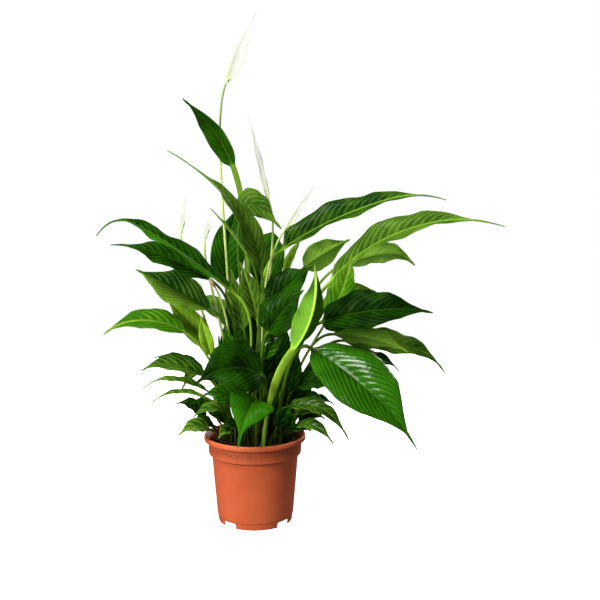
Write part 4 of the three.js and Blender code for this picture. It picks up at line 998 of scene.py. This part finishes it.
def hood_shell(bloom):
    """The hood: a cupped, pointed blade that rises behind the spike."""
    along, front = hood_axes(bloom)
    base = np.asarray(bloom.foot, float) + along * 2 * GAP
    middle = (base + np.asarray(bloom.tip, float)) / 2 - front * bloom.width * HOOD_CUP
    t = np.linspace(0, 1, HOOD_RINGS)
    length = np.linalg.norm(np.subtract(bloom.tip, bloom.foot))
    form = dict(width=bloom.width, length=length, fold=HOOD_FOLD, twist=0, wave=0.6, round=1, sheath=1.1,
                widening=0, wing=0, flat_by=0.15, rib=0.4, veins=0, widest=WIDEST, drip=DRIP, taper=0)
    blade = Blade(quadratic(base, middle, bloom.tip, t), t, np.ones_like(t), bloom.face, form, FEWER_COLUMNS)
    return blade_shell(blade, (0.5, 0, 0, 0.5, 0, 0))


def stalk_points(bloom):
    along, _ = hood_axes(bloom)
    points = np.vstack([stem_line(bloom.root, bloom.foot, along, STALK_STEPS, bloom.bend), bloom.foot])
    return points, mix(STALK_RADIUS, 1.1, np.linspace(0, 1, len(points)))


def geometry_tree(name, **inputs):
    """A node tree that makes geometry. Gives the tree, its node set and its inputs' values."""
    tree = bpy.data.node_groups.new(name, "GeometryNodeTree")
    for key, kind in inputs.items():
        tree.interface.new_socket(key, in_out="INPUT", socket_type="NodeSocket" + kind)
    tree.interface.new_socket("Geometry", in_out="OUTPUT", socket_type="NodeSocketGeometry")
    n = NodeSet(tree)
    return tree, n, [n.node("NodeGroupInput", output=i) for i in range(len(inputs))]


def floret_tree(material):
    """Node tree that studs a spike with florets, set out on a spiral."""
    tree, n, (count, length, radius, floret) = geometry_tree("spike florets", Count="Int", Length="Float",
                                                             Radius="Float", Floret="Float")
    index = n.node("GeometryNodeInputIndex")
    turn = index * math.radians(GOLDEN_ANGLE)
    cosine, sine = turn.maths("COSINE", turn), turn.maths("SINE", turn)
    height = (index + 0.5) / count
    away = radius * (1 - ((height - 0.5) / 0.52) ** 2) ** 0.5 * 0.93
    spot = n.node("ShaderNodeCombineXYZ", inputs={0: cosine * away, 1: sine * away, 2: height * length})
    points = n.node("GeometryNodePoints", inputs={"Count": count, "Position": spot})
    bead = n.node("GeometryNodeMeshUVSphere", inputs={"Segments": 6, "Rings": 4})
    outward = n.node("ShaderNodeCombineXYZ", inputs={0: cosine, 1: sine, 2: 0.0})
    facing = n.node("FunctionNodeAlignRotationToVector", {"axis": "Z"}, {"Vector": outward})
    scale = n.node("ShaderNodeCombineXYZ", inputs={0: floret, 1: floret, 2: floret * FLORET_HEIGHT})
    n.strewn(points, bead, facing, scale, material)
    return tree


def run_tree(name, tree, mesh, **inputs):
    """The plain mesh that a node tree makes on a starting mesh."""
    carrier = new_object(name, mesh)
    modifier = carrier.modifiers.new(name, "NODES")
    modifier.node_group = tree
    sockets = {i.name: i.identifier for i in tree.interface.items_tree if i.in_out == "INPUT"}
    for key, value in inputs.items():
        modifier[sockets[key]] = value
    graph = bpy.context.evaluated_depsgraph_get()
    made = bpy.data.meshes.new_from_object(carrier.evaluated_get(graph))
    bpy.data.objects.remove(carrier)
    return made


def mesh_points(mesh):
    points = np.zeros(len(mesh.vertices) * 3)
    mesh.vertices.foreach_get("co", points)
    return points.reshape(-1, 3)


def spike_mesh(bloom, tree):
    """The spike: a slim column on its stipe, closely set with florets."""
    along, front = hood_axes(bloom)
    radius = min(SPADIX_RADIUS, bloom.width * SPADIX_SHARE)
    off = min(SPADIX_FORWARD, bloom.width * SPADIX_FORWARD_SHARE)
    start = np.asarray(bloom.foot, float) + along * SPADIX_START + front * off
    end = start + along * (STIPE + bloom.spike) + front * off * SPADIX_LEAN
    axis = unit(end - start)
    t = np.linspace(0, 1, 40)
    line = start + (end - start) * t[:, None]
    body = np.sqrt(np.maximum(0.04, 1 - ((t - 0.55) / 0.47) ** 2))
    radii = np.where(t < STIPE_SHARE, STIPE_RADIUS, np.maximum(0.6, radius * body * COLUMN_SHARE))
    points, faces = tube_shell(line, radii, front, 18)
    column = make_mesh("spike column", points, faces)
    area = bloom.spike * 2 * math.pi * radius * 0.8
    floret = FLORET_SIZES[int(radius > STOUT)]
    count = int(area / (floret * floret * FLORET_AREA))
    studs = run_tree("florets", tree, bpy.data.meshes.new("florets"), Count=count, Length=bloom.spike,
                     Radius=radius, Floret=floret)
    turn = np.stack([unit(np.cross(front, axis)), across(axis, front), axis], 1)
    placed = mesh_points(studs) @ turn.T + line[0] + axis * (STIPE - 1)
    faces = [list(p.vertices) for p in column.polygons]
    faces += [[v + len(column.vertices) for v in p.vertices] for p in studs.polygons]
    return make_mesh(bloom.name + "_spadix", np.vstack([points, placed]), faces)


def add_blooms(finishes):
    tree = floret_tree(finishes["spike"])
    for bloom in BLOOMS:
        stalk = make_mesh(bloom.name + "_stem", *tube_shell(*stalk_points(bloom)))
        hood = make_mesh(bloom.name + "_spathe", *hood_shell(bloom))
        hood.set_sharp_from_angle(angle=math.radians(50))
        spike = spike_mesh(bloom, tree)
        for part, mesh, finish, slot in (("_stem", stalk, "stalk", "stalk_green"),
                                         ("_spathe", hood, "hood", "spathe_white"),
                                         ("_spadix", spike, "spike", "spadix_cream")):
            add_piece("fine_" + bloom.name + part, mesh, finishes[finish], slot, bloom.name + part)


def add_withered(finish):
    """A spent bud, wrinkled lengthways, at the end of its stalk."""
    bloom = WITHERED_BLOOM
    foot = np.asarray(bloom.foot, float)
    direction = np.subtract(bloom.tip, foot)
    stem = stem_line(bloom.root, foot, direction, STALK_STEPS, PETIOLE_BEND)
    t = np.linspace(0, 1, 22)
    line = np.vstack([stem, foot + direction * t[:, None]])
    swell = 0.8 + 2 * np.sin(np.pi * np.clip(t * 0.94 + 0.03, 0, 1)) ** 0.8
    radii = np.concatenate([mix(STALK_RADIUS, 1, np.linspace(0, 1, len(stem))), swell])
    points, faces = tube_shell(line, radii, sides=BUD_SIDES)
    index = np.arange(len(points))
    wrinkle = WRINKLE * np.sin(index % BUD_SIDES * WRINKLE_TURN)
    wrinkle[index < len(stem) * BUD_SIDES] = 0
    centre = np.repeat(line, BUD_SIDES, axis=0)
    mesh = make_mesh(bloom.name, centre + (points - centre) * (1 + wrinkle[:, None]), faces)
    add_piece("fine_" + bloom.name, mesh, finish, "withered_bud", bloom.name)


# ---- pot ----


def outside_radius(z):
    """The pot's outside below its step."""
    return mix(FOOT_RADIUS, BODY_RADIUS, z / (POT_HEIGHT - COLLAR_HEIGHT))


def inside_radius(z):
    step = POT_HEIGHT - COLLAR_HEIGHT
    if z < step:
        return outside_radius(z) - WALL
    return mix(COLLAR_FOOT_RADIUS, COLLAR_RADIUS, (z - step) / COLLAR_HEIGHT) - WALL


def rounded(corners):
    """A closed profile of (radius, height, rounding) corners, with each rounded by a short arc."""
    made = []
    for i, (x, z, rounding) in enumerate(corners):
        here = np.array([x, z], float)
        if not rounding:
            made.append(here)
            continue
        before, after = (np.array(corners[(i + k) % len(corners)][:2], float) for k in (-1, 1))
        a = here + unit(before - here) * rounding
        b = here + unit(after - here) * rounding
        for t in np.linspace(0, 1, 6):
            made.append(a * (1 - t) ** 2 + 2 * here * t * (1 - t) + b * t ** 2)
    return np.array(made)


def lathed(name, profile, segments):
    """A closed ring profile turned about the axis; points on the axis become one point."""
    turn = 2 * np.pi * np.arange(segments) / segments
    points, rows = [], []
    for radius, z in profile:
        if radius < 1e-6:
            rows.append([len(points)] * segments)
            points.append((0, 0, z))
        else:
            rows.append(list(range(len(points), len(points) + segments)))
            points += [(radius * math.cos(a), radius * math.sin(a), z) for a in turn]
    faces = []
    for a, b in zip(rows, rows[1:]):
        for j in range(segments):
            k = (j + 1) % segments
            ring = [a[j], a[k], b[k], b[j]]
            faces.append([v for i, v in enumerate(ring) if v != ring[i - 1]])
    return make_mesh(name, points, faces)


def block(points_low, points_high):
    """A closed prism between two like outlines, as points and faces."""
    count = len(points_low)
    faces = [list(range(count))[::-1], list(range(count, 2 * count))]
    faces += [[i, (i + 1) % count, count + (i + 1) % count, count + i] for i in range(count)]
    return [*points_low, *points_high], faces


def notch_cutters():
    """The arched gaps between the pot's feet and the drain holes, as one mesh to cut away."""
    points, faces = [], []

    def add(low, high):
        more, ring = block(low, high)
        faces.extend([[v + len(points) for v in f] for f in ring])
        points.extend(more)

    half = math.radians(360 / FEET - FOOT_ANGLE) / 2
    for i in range(FEET):
        middle = math.radians(-90 + FRONT_FOOT_TURN + (i + 0.5) * 360 / FEET)
        inner, outer = [], []
        shoulder = NOTCH_HEIGHT - NOTCH_CORNER
        arch = [(1, -PAST), (1, shoulder), (NOTCH_TOP, NOTCH_HEIGHT), (-NOTCH_TOP, NOTCH_HEIGHT),
                (-1, shoulder), (-1, -PAST)]
        for along, z in arch:
            a = middle + along * half
            for ring, reach in zip((inner, outer), NOTCH_REACH):
                radius = FOOT_RADIUS + reach
                ring.append((radius * math.cos(a), radius * math.sin(a), z))
        add(inner, outer)
    for i in range(DRAIN_HOLES):
        angle = math.radians(FRONT_FOOT_TURN + i * 360 / DRAIN_HOLES)
        x, y = DRAIN_CIRCLE * math.cos(angle), DRAIN_CIRCLE * math.sin(angle)
        ring = [(x + DRAIN_RADIUS * math.cos(a), y + DRAIN_RADIUS * math.sin(a))
                for a in 2 * np.pi * np.arange(DRAIN_SIDES) / DRAIN_SIDES]
        bottom, top = FLOOR_Z - PAST, FLOOR_Z + FLOOR_THICKNESS + PAST
        add([(*p, bottom) for p in ring], [(*p, top) for p in ring])
    return make_mesh("cutters", points, faces)


def cut(mesh, cutters):
    """A mesh with another cut away from it."""
    whole = new_object("whole", mesh)
    tool = new_object("tool", cutters)
    modifier = whole.modifiers.new("cut", "BOOLEAN")
    modifier.operation = "DIFFERENCE"
    modifier.solver = "MANIFOLD"
    modifier.object = tool
    graph = bpy.context.evaluated_depsgraph_get()
    made = bpy.data.meshes.new_from_object(whole.evaluated_get(graph))
    bpy.data.objects.remove(whole)
    bpy.data.objects.remove(tool)
    return made


def pot_mesh():
    step = POT_HEIGHT - COLLAR_HEIGHT
    floor_top = FLOOR_Z + FLOOR_THICKNESS
    lip = POT_HEIGHT - LIP_HEIGHT
    corners = [
        (0, 0, 0), (PAD_RADIUS, 0, 0.6), (PAD_RADIUS, FLOOR_Z, 0.6),
        (inside_radius(FLOOR_Z), FLOOR_Z, 0.5), (inside_radius(0), 0, 0.4),
        (FOOT_RADIUS - FOOT_INSET, 0, 0.8),
        (outside_radius(FOOT_HEIGHT) - FOOT_INSET, FOOT_HEIGHT, 0.2),
        (outside_radius(FOOT_HEIGHT), FOOT_HEIGHT + 0.4, 0.3),
        (outside_radius(14), 14, 0), (outside_radius(40), 40, 0), (BODY_RADIUS, step, 0.8),
        (COLLAR_FOOT_RADIUS, step + STEP_RISE, 0.9),
        (COLLAR_RADIUS, lip - 0.6, 0.5), (RIM_RADIUS - 0.6, lip, 1.2), (RIM_RADIUS, lip + 2, 2),
        (RIM_RADIUS - 0.7, POT_HEIGHT, 1.6), (LIP_INNER_RADIUS + 0.2, POT_HEIGHT - 0.2, 1),
        (inside_radius(lip), lip, 1.5), (inside_radius(step + STEP_RISE), step + STEP_RISE, 0.8),
        (inside_radius(step - 0.01), step, 0.8), (inside_radius(floor_top), floor_top, 1.2),
        (0, floor_top, 0),
    ]
    mesh = cut(lathed("pot", rounded(corners), POT_SEGMENTS), notch_cutters())
    mesh.set_sharp_from_angle(angle=math.radians(35))
    return mesh


# ---- soil ----


def soil_mesh():
    """The potting mix: its top lumpy, its sides down inside the pot."""
    bottom = FLOOR_Z + FLOOR_THICKNESS + GAP
    edge = inside_radius(SOIL_TOP) - GAP
    rings = np.concatenate([[0], np.linspace(SOIL_CENTRE, edge, SOIL_RINGS)])
    profile = [(0, bottom), (inside_radius(bottom) - GAP, bottom)]
    profile += [(inside_radius(SOIL_WALL_FROM) - GAP, SOIL_WALL_FROM), (edge, SOIL_WALL_FROM + SOIL_TURN_IN)]
    profile += [(edge, SOIL_TOP - SOIL_EDGE)]
    profile += [(r, SOIL_TOP) for r in rings[::-1][1:]]
    mesh = lathed("soil", profile, SOIL_SEGMENTS)
    points = mesh_points(mesh) / MM
    x, y, z = points.T
    lumps = SOIL_LUMP * np.sin(0.9 * x + 0.4 * y) * np.cos(0.7 * y - 0.3 * x) * 0.6
    lumps += 0.5 * np.sin(1.9 * x - 0.7 * y + 1) * np.sin(1.6 * y + 0.9 * x)
    points[:, 2] += np.where(z > SOIL_TOP - 0.5, lumps, 0)
    mesh.vertices.foreach_set("co", (points * MM).ravel())
    return mesh


def crumb_tree(finish):
    """Node tree that strews crumbs over a surface."""
    tree, n, values = geometry_tree("crumbs", Geometry="Geometry", Density="Float", Smallest="Float",
                                    Largest="Float", Slimness="Float", Seed="Int")
    ground, density, smallest, largest, slimness, seed = values
    points = n.node("GeometryNodeDistributePointsOnFaces", {"distribute_method": "RANDOM"},
                    {"Mesh": ground, "Density": density, "Seed": seed})
    lump = n.node("GeometryNodeMeshIcoSphere", inputs={"Radius": 1.0, "Subdivisions": 1})
    turn = n.node("FunctionNodeRandomValue", {"data_type": "FLOAT_VECTOR"},
                  {"Min": (0, 0, 0), "Max": (6.28, 6.28, 6.28), "Seed": seed})
    kind = {"data_type": "FLOAT"}
    size, squash = (n.node("FunctionNodeRandomValue", kind, {2: low, 3: high, "Seed": seed}, 1)
                    for low, high in ((smallest, largest), (0.55, 1.0)))
    thickness = size * squash / slimness
    scale = n.node("ShaderNodeCombineXYZ", inputs={0: size, 1: thickness, 2: thickness})
    n.strewn(points, lump, turn, scale, finish)
    return tree


def ground_mesh():
    """The soil's open top, on which crumbs are strewn."""
    edge = inside_radius(SOIL_TOP) - GROUND_MARGIN
    turn = 2 * np.pi * np.arange(48) / 48
    ring = [(edge * math.cos(a), edge * math.sin(a), SOIL_TOP + 0.2) for a in turn]
    return make_mesh("ground", ring, [list(range(len(ring)))])


def add_soil(finishes):
    add_piece("fine_soil", soil_mesh(), finishes["soil"], "soil", "soil")
    kinds = (("crumbs", "crumb", CRUMBS_PER_M2, CRUMB_SIZES, 1.0, 4),
             ("fibres", "fibre", FIBRES_PER_M2, FIBRE_SIZES, FIBRE_SLIMNESS, 9))
    for name, finish, density, sizes, slimness, seed in kinds:
        strewn = run_tree(name, crumb_tree(finishes[finish]), ground_mesh(), Density=density,
                          Smallest=sizes[0] * MM, Largest=sizes[1] * MM, Slimness=slimness, Seed=seed)
        add_piece("soil_" + name, strewn, None, "soil")


# ---- studio ----


def add_floor():
    wide, deep = FLOOR_REACH
    mesh = bpy.data.meshes.new("floor")
    corners = [(-wide, -deep, 0), (wide, -deep, 0), (wide, deep, 0), (-wide, deep, 0)]
    mesh.from_pydata(corners, [], [(0, 1, 2, 3)])
    mesh.materials.append(floor_finish())
    floor = new_object("floor", mesh)
    floor.visible_diffuse = False
    floor.visible_glossy = False


def add_light(name, place, size, power):
    data = bpy.data.lights.new(name, "AREA")
    data.shape = "RECTANGLE"
    data.size, data.size_y = size
    data.energy = power
    data.color = LIGHT_COLOUR
    light = new_object(name, data)
    light.location = place
    offset = light.location - Vector(LIGHT_AIM)
    light.rotation_euler = offset.to_track_quat("Z", "Y").to_euler()


def add_world():
    """White all round: full strength where the camera sees it, softer where it lights the plant."""
    world = bpy.data.worlds.new("studio")
    bpy.context.scene.world = world
    world.use_nodes = True
    n = NodeSet(world.node_tree)
    seen = n.node("ShaderNodeLightPath", output="Is Camera Ray")
    strength = seen * (1 - SURROUNDINGS) + SURROUNDINGS
    background = world.node_tree.nodes["Background"]
    background.inputs["Color"].default_value = (1, 1, 1, 1)
    world.node_tree.links.new(strength.socket, background.inputs["Strength"])


def add_camera():
    data = bpy.data.cameras.new("camera")
    data.lens = CAMERA_LENS
    data.sensor_width = 36
    data.clip_start, data.clip_end = 0.05, 60
    camera = new_object("camera", data)
    camera.location = [c * MM for c in CAMERA_PLACE]
    camera.rotation_euler = (math.radians(90 - CAMERA_PITCH), 0, 0)
    bpy.context.scene.camera = camera


def main():
    leaf_finishes = {tone: leaf_finish(tone) for tone in LEAF_COLOURS}
    finishes = {"stalk": stalk_finish(), "hood": hood_finish(), "spike": spike_finish()}
    for name, key, dark, light in SOIL_COLOURS:
        finishes[key] = soil_finish(name, dark, light)
    add_leaves(leaf_finishes)
    add_shoots(leaf_finishes)
    add_inner_leaves(leaf_finishes["dark"])
    add_blooms(finishes)
    add_withered(withered_finish())
    add_piece("fine_pot", pot_mesh(), pot_finish(), "pot_plastic", "pot")
    add_soil(finishes)
    add_floor()
    for light in LIGHTS:
        add_light(*light)
    add_world()
    add_camera()
    bpy.context.scene.view_settings.view_transform = "Standard"


main()
